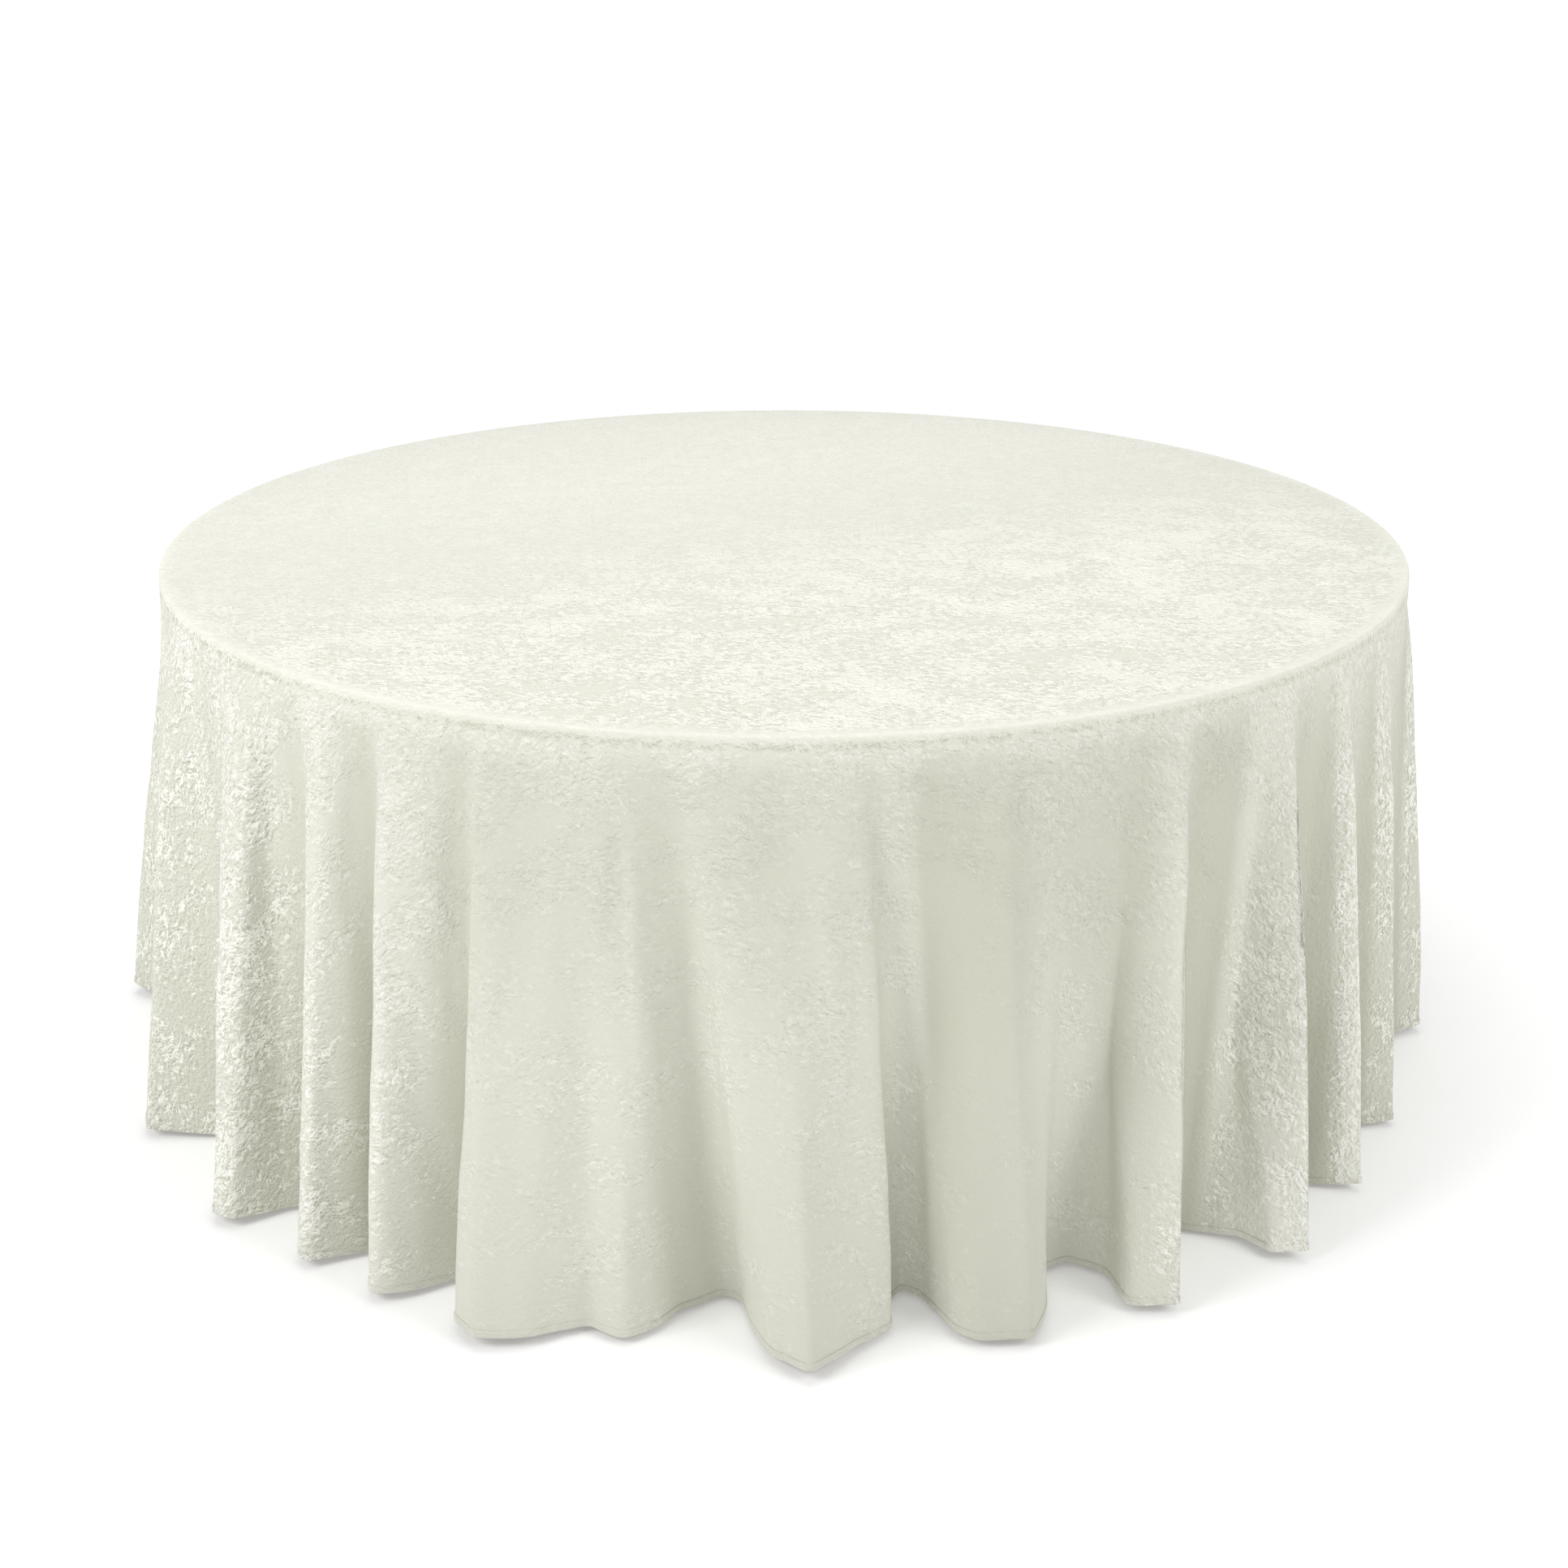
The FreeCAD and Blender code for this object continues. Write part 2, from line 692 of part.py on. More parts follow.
def fold_depth(drop):
    """How far a fold's middle stands out from the rim, at a distance below the rim."""
    return SIZES["fold_half_depth"] * (1 - math.exp(-drop / SIZES["fold_growth_length"]))


def fold_outline(radius, depth, height):
    """A closed outline whose troughs lie on the radius and whose crests stand out by twice depth."""
    folds = SIZES["fold_count"]
    count = int(folds) * POINTS_PER_FOLD
    points = []
    for number in range(count):
        angle = FULL_TURN * number / count
        reach = radius + depth * (1 + math.cos(folds * angle))
        points.append(FreeCAD.Vector(reach * math.cos(angle), reach * math.sin(angle), height))
    curve = Part.BSplineCurve()
    curve.interpolate(points, PeriodicFlag=True)
    return Part.Wire(curve.toShape())


def cloth_solid(inset, bottom):
    """The solid inside the cloth's surface, moved in by an inset, down to a bottom height."""
    rim_radius = SIZES["cloth_rim_radius"] - inset
    rounding = SIZES["cloth_rim_rounding"] - inset
    top = SIZES["table_height"] + SIZES["cloth_rest_gap"] + SIZES["cloth_thickness"] - inset
    outlines = []
    for degrees in RIM_ANGLES:
        angle = math.radians(degrees)
        radius = rim_radius - rounding + rounding * math.cos(angle)
        outlines.append(fold_outline(radius, 0, top - rounding + rounding * math.sin(angle)))
    rim_height = top - rounding
    for drop in SKIRT_DROPS + (rim_height - bottom,):
        outlines.append(fold_outline(rim_radius, fold_depth(drop), rim_height - drop))
    return Part.makeLoft(outlines, True, True)


def tablecloth():
    """The cloth as a closed shell: a flat top, a tight rim and a skirt of even folds."""
    bottom = SIZES["hem_gap"] + SIZES["hem_height"]
    shape = cloth_solid(0, bottom).cut(cloth_solid(SIZES["cloth_thickness"], bottom))
    feature = doc.addObject("Part::Feature", "tablecloth")
    feature.Shape = shape
    as_node(feature, "tablecloth")


def hem():
    """The turned edge around the skirt's foot, a little thicker than the cloth."""
    height = SIZES["hem_gap"]
    drop = SIZES["table_height"] + SIZES["cloth_rest_gap"] - height - SIZES["hem_height"]
    depth = fold_depth(drop)
    outside_radius = SIZES["cloth_rim_radius"] + SIZES["hem_bulge"]
    inside_radius = SIZES["cloth_rim_radius"] - SIZES["cloth_thickness"] - SIZES["hem_bulge"]
    outside = fold_outline(outside_radius, depth, height)
    inside = fold_outline(inside_radius, depth, height)
    up = FreeCAD.Vector(0, 0, SIZES["hem_height"])
    shape = Part.Face(outside).extrude(up).cut(Part.Face(inside).extrude(up))
    feature = doc.addObject("Part::Feature", "hem")
    feature.Shape = shape
    as_node(feature, "hem")


# ---------------------------------------------------------------- the whole object


def floor_block():
    """What lies below the floor, which the splayed foot caps are cut flat by."""
    block = doc.addObject("Part::Box", "below_floor")
    bind(block, Length="2 * table_radius", Width="2 * table_radius", Height="foot_cap_height")
    return place(block, "-1 * table_radius", "-1 * table_radius", "-1 * foot_cap_height")


def build():
    fill_sheet()
    wood_screws = as_node(panel_screws(), "panel_screws")
    plate_screws = as_node(bracket_screws(), "bracket_screws")
    table_panel(wood_screws)
    edge_band()
    runners(wood_screws, plate_screws)
    brace_rails(wood_screws, plate_screws)
    hinge_brackets()
    brace_brackets()
    floor = floor_block()
    for side, sign in SIDES.items():
        leg_frame(side, sign, floor)
        brace(side, sign)
    tablecloth()
    hem()
    doc.recompute()


def check():
    """Stop on any object that failed to build, or any sub-part that is not a sound solid."""
    for item in doc.Objects:
        if "Invalid" in item.State or "Error" in item.State:
            raise RuntimeError("%s failed: %s" % (item.Label, item.State))
    for node in nodes:
        shape = node.Shape
        if shape.isNull() or not shape.isValid() or not shape.Solids:
            raise RuntimeError("%s has no sound solid" % node.Label)


def export():
    os.makedirs("parts", exist_ok=True)
    for node in nodes:
        node.Shape.exportStep("parts/%s.step" % node.Label)
        print("%-26s %2d solids %12.1f mm3" % (node.Label, len(node.Shape.Solids), node.Shape.Volume))


build()
check()
export()
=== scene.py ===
import json
import math

import bpy
import numpy as np
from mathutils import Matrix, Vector, noise


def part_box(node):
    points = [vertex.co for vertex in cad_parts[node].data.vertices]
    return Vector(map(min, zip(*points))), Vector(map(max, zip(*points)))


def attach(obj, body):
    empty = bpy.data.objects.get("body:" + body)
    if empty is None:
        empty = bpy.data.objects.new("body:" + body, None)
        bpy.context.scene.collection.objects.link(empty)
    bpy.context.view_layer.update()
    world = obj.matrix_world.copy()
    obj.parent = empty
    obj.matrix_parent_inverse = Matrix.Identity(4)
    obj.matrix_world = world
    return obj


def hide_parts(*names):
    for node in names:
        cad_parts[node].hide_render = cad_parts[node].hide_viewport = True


# A round folding table under a floor-length crushed-velvet cloth.
#
# Lengths are metres and the axes are the frame's: the floor is Z = 0 and the camera looks along +Y.
# Azimuths on the cloth are in degrees round Z, from 0 towards the camera (-Y), growing towards +X.

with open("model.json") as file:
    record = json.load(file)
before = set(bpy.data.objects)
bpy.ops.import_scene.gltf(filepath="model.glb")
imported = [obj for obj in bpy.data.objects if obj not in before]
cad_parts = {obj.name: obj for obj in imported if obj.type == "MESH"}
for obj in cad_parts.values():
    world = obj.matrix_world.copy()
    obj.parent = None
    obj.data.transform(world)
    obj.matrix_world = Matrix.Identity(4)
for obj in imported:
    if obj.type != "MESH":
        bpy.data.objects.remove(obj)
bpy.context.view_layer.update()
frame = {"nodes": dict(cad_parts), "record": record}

# ---------------------------------------------------------------- sizes from the frame

TOP_HEIGHT = float(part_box("tablecloth")[1][2])
TABLE_RADIUS = float(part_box("edge_band")[1][0])
BAND_BOTTOM = float(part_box("edge_band")[0][2])

CLOTH_FLAT_WIDTH = 3.3528
RIM_RADIUS = TABLE_RADIUS + 0.0030
RIM_ROUNDING = 0.0045
HEM_BOTTOM = 0.005
HEM_HEIGHT = 0.010
RIM_HEIGHT = TOP_HEIGHT - RIM_ROUNDING
SKIRT_LENGTH = RIM_HEIGHT - HEM_BOTTOM - HEM_HEIGHT

# ---------------------------------------------------------------- folds of the cloth

# Corners further out than this count as part of a crest. Those further in are troughs, whose painted
# shade is full at some depth inside it.
CREST_RADIUS = 0.95
TROUGH_DEPTH = 0.05
TROUGH_PAINTED_SHADE = 0.5


def at(azimuth, radius, start=None, drift=None, shade=None):
    """One corner of a fold's outline at the hem, seen from above.

    The azimuth and radius are at the hem. The start is how far below the rim the corner begins to
    stand out or sink in. The drift is how many degrees further round it leaves the rim. The shade is
    painted into the colour there: painted shade, darkest at 1, and painted light, paler than the rest,
    below 0.
    """
    if shade is None:
        shade = TROUGH_PAINTED_SHADE * min(1, max(0, (CREST_RADIUS - radius) / TROUGH_DEPTH))
    return azimuth, radius, start, drift, shade


# The folds that face the camera, from -X round to +X. Each is (drift, crest start, trough start,
# corners). A corner may have a start, drift and painted shade of its own.
SEEN_FOLDS = [
    (1.0, 0.03, 0.06, [
        at(-90.0, 1.040), at(-87.0, 1.062), at(-84.5, 1.000), at(-81.0, 0.920), at(-79.0, 0.925)]),
    (0.5, 0.06, 0.08, [
        at(-75.5, 0.978), at(-73.0, 0.992), at(-70.5, 0.940), at(-68.0, 0.910)]),
    (0.0, 0.03, 0.16, [
        at(-65.2, 0.960), at(-63.2, 1.030), at(-61.0, 1.040), at(-57.9, 0.952, start=0.10),
        at(-55.4, 0.905)]),
    (-0.5, 0.03, 0.20, [
        at(-51.6, 0.925, shade=0.1), at(-49.2, 1.006, shade=-0.2), at(-46.6, 1.048, shade=-0.3),
        at(-44.9, 1.034, start=0.06, shade=-0.3), at(-44.2, 0.965, start=0.16, shade=0.1),
        at(-41.6, 0.900, shade=0.5)]),
    (0.4, 0.03, 0.22, [
        at(-39.8, 0.935, shade=0.4), at(-38.4, 1.012, shade=-0.4), at(-36.8, 1.028, shade=-0.4),
        at(-34.4, 0.965, start=0.14, shade=0.6), at(-32.9, 0.915, shade=0.7)]),
    (0.5, 0.03, 0.20, [
        at(-31.9, 0.950, shade=0.3), at(-31.3, 1.014, shade=-0.4), at(-30.0, 1.033, shade=-0.4),
        at(-27.5, 0.990, start=0.10), at(-25.6, 0.942, shade=0.3), at(-24.4, 0.918, shade=0.4)]),
    (1.3, 0.04, 0.14, [
        at(-23.7, 0.955), at(-23.1, 1.030, shade=0.2), at(-20.8, 1.057, shade=0.25),
        at(-17.1, 1.028, shade=0.1), at(-14.0, 0.982)]),
    (-1.4, 0.22, 0.06, [
        at(-11.2, 0.999), at(-9.3, 0.966, start=0.10, drift=-2.5),
        at(-8.0, 0.925, start=0.05, drift=-3.0, shade=0.3),
        at(-5.0, 0.892, start=0.06, drift=-4.0, shade=0.3),
        at(-3.4, 0.902, start=0.10, drift=-4.8, shade=0.1)]),
    (-2.8, 0.14, 0.10, [
        at(-2.2, 0.965, start=0.08, drift=-4.9), at(-0.8, 1.016, drift=-3.8, shade=0.15),
        at(1.7, 1.057, shade=0.25)]),
    (-2.6, 0.01, 0.04, [
        at(4.8, 1.002, shade=0.1), at(7.9, 0.965), at(8.2, 0.915, start=0.01, shade=0.4),
        at(9.4, 0.888, start=0.12, shade=-0.1)]),
    (-2.0, 0.05, 0.30, [
        at(10.8, 0.900, start=0.22, shade=-0.3), at(11.2, 0.915, start=0.22, shade=-0.2),
        at(11.9, 0.985, start=0.36, shade=0.1), at(13.4, 1.018, start=0.16, shade=0.55),
        at(17.0, 1.034, start=0.03, shade=0.5), at(19.6, 0.972, start=0.10, drift=-0.4, shade=0.1),
        at(21.6, 0.900, start=0.28, drift=-0.2, shade=-0.2),
        at(24.0, 0.895, start=0.32, drift=0.4, shade=-0.3)]),
    (1.9, 0.015, 0.10, [
        at(25.9, 0.935, start=0.46, drift=0.2, shade=-0.3), at(25.1, 1.010, start=0.46, drift=1.7),
        at(28.2, 1.044, start=0.01, drift=2.8, shade=-0.1),
        at(28.9, 0.965, start=0.02, drift=2.8, shade=0.6),
        at(30.8, 0.908, start=0.04, drift=2.4, shade=1.0), at(35.0, 0.905, start=0.10, shade=1.0),
        at(35.5, 0.915, start=0.16, shade=0.8), at(36.0, 0.925, start=0.20, shade=0.3)]),
    (2.0, 0.03, 0.12, [
        at(38.2, 0.965, start=0.46, drift=1.6, shade=-0.9),
        at(37.9, 1.022, start=0.46, drift=2.4, shade=-0.8),
        at(40.1, 1.058, start=0.02, drift=2.6, shade=-0.5),
        at(40.9, 0.965, start=0.04, drift=2.4, shade=0.8), at(43.6, 0.900, start=0.06, shade=1.0),
        at(47.4, 0.912, start=0.10, shade=1.0)]),
    (-0.2, 0.03, 0.10, [
        at(48.9, 0.962, start=0.10, shade=1.0), at(49.5, 0.984, start=0.08, shade=0.3),
        at(49.8, 0.994, start=0.06, shade=-0.7), at(50.9, 1.022, shade=-0.7),
        at(52.0, 0.950, start=0.05, shade=0.6), at(56.0, 0.905, start=0.07, shade=0.6)]),
    (-2.6, 0.03, 0.10, [
        at(58.6, 0.930, shade=1.0), at(59.8, 0.958, start=0.08, shade=1.0), at(60.3, 0.968, start=0.06),
        at(61.9, 1.002), at(63.8, 0.955, shade=0.5), at(70.0, 0.902)]),
    (-0.5, 0.04, 0.09, [
        at(76.0, 0.955, shade=0.9), at(77.6, 0.976, shade=0.9), at(78.0, 0.982), at(79.4, 1.022),
        at(83.0, 0.975, shade=0.4), at(88.0, 0.912)]),
]
HIDDEN_FOLDS = 13


def hidden_folds():
    """Folds for the far side, with the same spread of widths and depths as the near side."""
    rng = np.random.default_rng(41)
    first = SEEN_FOLDS[-1][3][-1][0]
    last = SEEN_FOLDS[0][3][0][0] + 360
    widths = rng.uniform(0.72, 1.28, HIDDEN_FOLDS)
    edges = first + np.cumsum(widths) / (widths.sum() + 0.35) * (last - first)
    folds = []
    start = first
    for number in range(HIDDEN_FOLDS):
        width = edges[number] - start
        crest_radius = rng.uniform(1.015, 1.055)
        lean = rng.choice([-1, 1]) * rng.uniform(0.02, 0.16)
        folds.append((rng.uniform(-2.0, 2.0), rng.uniform(0.02, 0.06), rng.uniform(0.06, 0.12), [
            at(start + width * (0.24 + lean), rng.uniform(0.94, 0.98)),
            at(start + width * (0.30 + lean), crest_radius - rng.uniform(0.00, 0.03)),
            at(start + width * (0.50 + lean), crest_radius),
            at(start + width * (0.62 + lean), crest_radius - rng.uniform(0.02, 0.06)),
            at(edges[number], rng.uniform(0.895, 0.925))]))
        start = edges[number]
    return folds


FOLDS = SEEN_FOLDS + hidden_folds()

COLUMNS = 1250
OUTLINE_STEPS = 7200
RIM_ROWS = 5
SKIRT_ROWS = 64
TOP_ROWS = 9

# The share of an even spacing in the skirt's rows.
ROW_EVENNESS = 0.70

# How far a bend in the outline is spread along it, at the hem, and how many times further at the rim.
CORNER_SOFTNESS = 0.0062
RIM_SOFTENING = 0.4
SOFTENING_DEPTH = 0.10

# How far below the rim the painted shade of the corners settles. Shade is also painted on the flat
# cloth above a corner, the more so the later the corner starts, and in full from the late start on.
PAINTED_SHADE_DEPTH = 0.08
LATE_START = 0.35
LATE_PAINTED_SHADE = 0.75

# How gently a corner starts, as a share of its reach, and how its growth and its swing round the
# table bend down the skirt: below 1 they are faster near the rim.
START_SOFTNESS = 0.05
GROWTH_BEND = 0.80
SWING_BEND = 0.8
PAINTED_SHADE_BEND = 0.6


def corner_table():
    """Azimuth at the rim, azimuth at the hem, hem radius, start and painted shade of every corner."""
    middles = [np.mean([corner[0] for corner in outline]) for _, _, _, outline in FOLDS]
    drifts = [fold[0] for fold in FOLDS]
    corners = []
    for _, crest_start, trough_start, outline in FOLDS:
        for azimuth, radius, start, drift, shade in outline:
            if start is None:
                start = crest_start if radius > CREST_RADIUS else trough_start
            if drift is None:
                drift = float(np.interp(azimuth, middles, drifts, period=360))
            corners.append((azimuth + drift, azimuth, radius, start, shade))
    return np.array(corners).T


RIM_AZ, HEM_AZ, HEM_R, START, PAINTED_SHADE = corner_table()


def growth(drop, start):
    """How far a corner has moved out or in at a distance below the rim: 0 at the rim, 1 at the hem."""
    reach = SKIRT_LENGTH - start

    def eased(x):
        return 0.5 * (x + np.sqrt(x * x + START_SOFTNESS * START_SOFTNESS))

    opened = eased((drop - start) / reach) - eased(-start / reach)
    full = eased(1.0) - eased(-start / reach)
    return (np.maximum(opened, 0) / full) ** GROWTH_BEND


def corner_row(drop):
    """Azimuth in radians, radius and painted shade of every corner at one distance below the rim,
    closed.
    """
    grown = growth(drop, START)
    radius = RIM_RADIUS + (HEM_R - RIM_RADIUS) * grown
    azimuth = np.radians(RIM_AZ + (HEM_AZ - RIM_AZ) * (drop / SKIRT_LENGTH) ** SWING_BEND)
    # Painted shade settles below the rim and is also painted above late corners. Below 0 it is painted
    # light, which grows with the corner.
    settled = 1 - math.exp(-drop / PAINTED_SHADE_DEPTH)
    late = np.minimum(1, START / LATE_START) ** 3
    painted_light_part = np.minimum(PAINTED_SHADE, 0)
    darker = np.maximum(PAINTED_SHADE, 0) + LATE_PAINTED_SHADE * late * (1 - grown) * (1 + painted_light_part)
    shade = settled * darker + painted_light_part * grown ** PAINTED_SHADE_BEND
    return (
        np.append(azimuth, azimuth[0] + 2 * math.pi),
        np.append(radius, radius[0]),
        np.append(shade, shade[0]))


def leg_ends(azimuth, radius):
    """Distance along the outline to every corner."""
    middle = 0.5 * (radius[1:] + radius[:-1])
    return np.concatenate([[0], np.cumsum(np.hypot(np.diff(azimuth) * middle, np.diff(radius)))])


def column_places():
    """Each column's leg of the outline and its place along that leg, spread evenly at the hem."""
    azimuth, radius, _ = corner_row(SKIRT_LENGTH)
    ends = leg_ends(azimuth, radius)
    places = (np.arange(COLUMNS) + 0.5) / COLUMNS * ends[-1]
    leg = np.searchsorted(ends, places, side="right") - 1
    return leg, (places - ends[leg]) / (ends[leg + 1] - ends[leg])


COLUMN_LEG, COLUMN_SHARE = column_places()


def smoothed(values, length, softness):
    """Values at even steps round a closed outline, blurred along it by a distance."""
    waves = np.fft.rfftfreq(OUTLINE_STEPS, length / OUTLINE_STEPS)
    kept = np.exp(-2 * (math.pi * waves * softness) ** 2)
    return np.fft.irfft(np.fft.rfft(values) * kept, OUTLINE_STEPS)


def plan_row(drop):
    """The cloth's outline seen from above at one distance below the rim.

    The corners are joined by legs, and the result is smoothed along its length, so that each corner
    bends as cloth does. Returns azimuth in radians, radius and painted shade at every column.
    """
    azimuth, radius, shade = corner_row(drop)
    ends = leg_ends(azimuth, radius)
    length = ends[-1]
    fine = np.arange(OUTLINE_STEPS) / OUTLINE_STEPS * length
    softness = CORNER_SOFTNESS * (1 + RIM_SOFTENING * math.exp(-drop / SOFTENING_DEPTH))
    swing = smoothed(np.interp(fine, ends, azimuth) - fine / length * 2 * math.pi, length, softness)
    reach = smoothed(np.interp(fine, ends, radius), length, softness)
    painted_shading = smoothed(np.interp(fine, ends, shade), length, softness)
    place = ends[COLUMN_LEG] + COLUMN_SHARE * (ends[COLUMN_LEG + 1] - ends[COLUMN_LEG])
    column_azimuth = np.interp(place, fine, swing, period=length) + place / length * 2 * math.pi
    column_radius = np.interp(place, fine, reach, period=length)
    return column_azimuth, column_radius, np.interp(place, fine, painted_shading, period=length)


def ring(azimuth, radius, height):
    """Points round the table at given azimuths, radii and heights."""
    height = np.broadcast_to(height, azimuth.shape)
    radius = np.broadcast_to(radius, azimuth.shape)
    return np.stack([radius * np.sin(azimuth), -radius * np.cos(azimuth), height], axis=1)


def skirt_drops():
    """Distances below the rim of the skirt's rows, closer together near the rim."""
    t = np.linspace(0, 1, SKIRT_ROWS)
    return SKIRT_LENGTH * (ROW_EVENNESS * t + (1 - ROW_EVENNESS) * t * t)


def flat_turns(rows, rim_azimuth):
    """Each point's angle on the flat cloth: each row's length is spread evenly round the circle."""
    steps = np.linalg.norm(np.roll(rows, -1, axis=1) - rows, axis=2)
    places = np.cumsum(steps, axis=1) - steps
    turns = places / steps.sum(axis=1, keepdims=True) * 2 * math.pi
    return turns + np.mean(rim_azimuth - turns, axis=1, keepdims=True)


# The lean of the cloth lifts its hem. Its slope is taken over at least this length.
LEAST_DROP = 0.02

# The innermost ring of the top, as a share of the flat top's radius.
INNER_RING = 0.04


def cloth_rows():
    """Positions, flat radii, flat angles and painted shade of the cloth, as rows from the middle to the
    hem.
    """
    rim_azimuth, _, _ = plan_row(0.0)
    flat_rim = RIM_RADIUS - RIM_ROUNDING
    rows = []
    flats = []
    painted_shades = np.zeros((TOP_ROWS + RIM_ROWS - 1 + SKIRT_ROWS, COLUMNS))
    for t in np.linspace(INNER_RING, 1, TOP_ROWS):
        rows.append(ring(rim_azimuth, flat_rim * t, TOP_HEIGHT))
        flats.append(flat_rim * t)
    for step in range(1, RIM_ROWS):
        bend = 0.5 * math.pi * step / RIM_ROWS
        rows.append(ring(
            rim_azimuth, flat_rim + RIM_ROUNDING * math.sin(bend),
            TOP_HEIGHT - RIM_ROUNDING * (1 - math.cos(bend))))
        flats.append(flat_rim + RIM_ROUNDING * bend)
    rim_flat = flat_rim + RIM_ROUNDING * 0.5 * math.pi
    for drop in skirt_drops():
        azimuth, radius, painted_shades[len(rows)] = plan_row(drop)
        shift = radius - RIM_RADIUS
        lift = shift * shift / (2 * max(drop, LEAST_DROP))
        rows.append(ring(azimuth, radius, RIM_HEIGHT - drop + lift))
        flats.append(rim_flat + drop)
    rows = np.array(rows)
    return rows, np.array(flats), flat_turns(rows, rim_azimuth), painted_shades


# ---------------------------------------------------------------- ripples in the cloth


def row_normals(rows):
    """Outward unit normals of a closed grid of points."""
    across = np.roll(rows, -1, axis=1) - np.roll(rows, 1, axis=1)
    down = np.gradient(rows, axis=0)
    normals = np.cross(across, -down)
    return normals / np.linalg.norm(normals, axis=2, keepdims=True)


def noise_field(points):
    """Smooth noise from about -1 to 1 at an array of points."""
    flat = points.reshape(-1, 3)
    values = [noise.noise(Vector(point)) for point in flat.tolist()]
    return np.array(values).reshape(points.shape[:-1])


# Each kind of ripple is (waves per metre round the cloth, waves per metre down it, shift in the
# noise, height).
RIPPLES = (16.0, 2.6, 0.0, 0.0050)
DENTS = (30.0, 11.0, 7.3, 0.0022)
CRINKLES = (85.0, 42.0, 3.1, 0.0010)

# The crinkles gather round a line just under the rim. Elsewhere a share of their height is left.
CRINKLE_DROP = 0.018
CRINKLE_SPREAD = 0.020
CRINKLE_SHARE = 0.25

# The noise is laid out on a drum whose radius is this share of the flat cloth's.
MIDDLE_OF_SKIRT = 0.75

# The ripples open with distance from the rim, and the rim itself stays smooth.
RIPPLE_OPENING = 0.16
RIM_CALM = 0.012

# The cloth keeps this far off the moulding, and a little past its lower edge.
BAND_CLEARANCE = 0.0012
BAND_MARGIN = 0.004


def rippled(rows, flats, turns):
    """The rows with soft upright ripples, small dents and crinkles just under the rim."""
    first = len(flats) - SKIRT_ROWS
    skirt = rows[first:]
    drop = (flats[first:] - flats[first])[:, None]
    turn = turns[first:]
    around = CLOTH_FLAT_WIDTH / 2 * MIDDLE_OF_SKIRT
    circle = np.stack([around * np.sin(turn), around * np.cos(turn), drop * np.ones_like(turn)], axis=2)

    def wave(kind):
        round_it, down_it, shift, height = kind
        return height * noise_field(circle * np.array([round_it, round_it, down_it]) + shift)

    opened = 1 - np.exp(-drop / RIPPLE_OPENING)
    gathered = CRINKLE_SHARE + np.exp(-((drop - CRINKLE_DROP) / CRINKLE_SPREAD) ** 2)
    height = wave(RIPPLES) * opened + wave(DENTS) * opened + wave(CRINKLES) * gathered
    height = height * np.minimum(1, drop / RIM_CALM)
    normals = row_normals(rows)[first:]
    moved = skirt + normals * height[:, :, None]
    radius = np.hypot(moved[:, :, 0], moved[:, :, 1])
    beside_band = moved[:, :, 2] > BAND_BOTTOM - BAND_MARGIN
    short = np.where(beside_band, np.maximum(0, TABLE_RADIUS + BAND_CLEARANCE - radius), 0)
    moved[:, :, :2] *= (1 + short / radius)[:, :, None]
    return np.concatenate([rows[:first], moved])


# ---------------------------------------------------------------- cloth and hem meshes


def new_piece(name, vertices, faces):
    mesh = bpy.data.meshes.new(name)
    mesh.from_pydata(vertices, [], faces)
    mesh.polygons.foreach_set("use_smooth", [True] * len(mesh.polygons))
    mesh.update()
    piece = bpy.data.objects.new(name, mesh)
    bpy.context.collection.objects.link(piece)
    return piece


def add_flat_map(mesh, flat):
    """A UV map whose coordinates are the flat cloth's own, in metres."""
    layer = mesh.uv_layers.new(name="flat")
    loops = np.empty(len(mesh.loops), dtype=np.int32)
    mesh.loops.foreach_get("vertex_index", loops)
    layer.data.foreach_set("uv", flat[loops].ravel())


def add_value(mesh, name, values):
    attribute = mesh.attributes.new(name, "FLOAT", "POINT")
    attribute.data.foreach_set("value", values)


def flat_points(flats, turns):
    """Flat cloth coordinates of every point of the grid."""
    reach = flats[:, None]
    return np.stack([reach * np.sin(turns), -reach * np.cos(turns)], axis=2).reshape(-1, 2)


def ring_faces(count, columns):
    """Faces between closed rows of points."""
    faces = []
    for row in range(count - 1):
        base = row * columns
        for column in range(columns):
            following = (column + 1) % columns
            faces.append((
                base + column, base + columns + column,
                base + columns + following, base + following))
    return faces


def cloth_piece(rows, flats, turns, painted_shades):
    """The whole cloth as one sheet, closed by a fan in the middle of the top."""
    count = rows.shape[0]
    centre = count * COLUMNS
    vertices = rows.reshape(-1, 3).tolist() + [[0, 0, TOP_HEIGHT]]
    faces = ring_faces(count, COLUMNS)
    faces += [(centre, column, (column + 1) % COLUMNS) for column in range(COLUMNS)]
    piece = new_piece("velvet_cloth", vertices, faces)
    add_flat_map(piece.data, np.vstack([flat_points(flats, turns), [[0, 0]]]))
    drop = (flats - flats[len(flats) - SKIRT_ROWS])[:, None] * np.ones_like(painted_shades)
    # The painted shade and painted light of the folds, read by the velvet.
    add_value(piece.data, "shade", np.append(painted_shades.ravel(), 0))
    add_value(piece.data, "drop", np.append(drop.ravel(), -RIM_RADIUS))
    return piece


# The hem's section is a rounded box. Its roundness is the power that squares its two directions off.
HEM_STEPS = 10
HEM_THICKNESS = 0.0026
HEM_OVERLAP = 0.001
HEM_SIDE_ROUNDNESS = 0.5
HEM_END_ROUNDNESS = 0.6


def rounded(value, roundness):
    """A value from -1 to 1 pushed outwards, with its sign kept."""
    return math.copysign(abs(value) ** roundness, value)


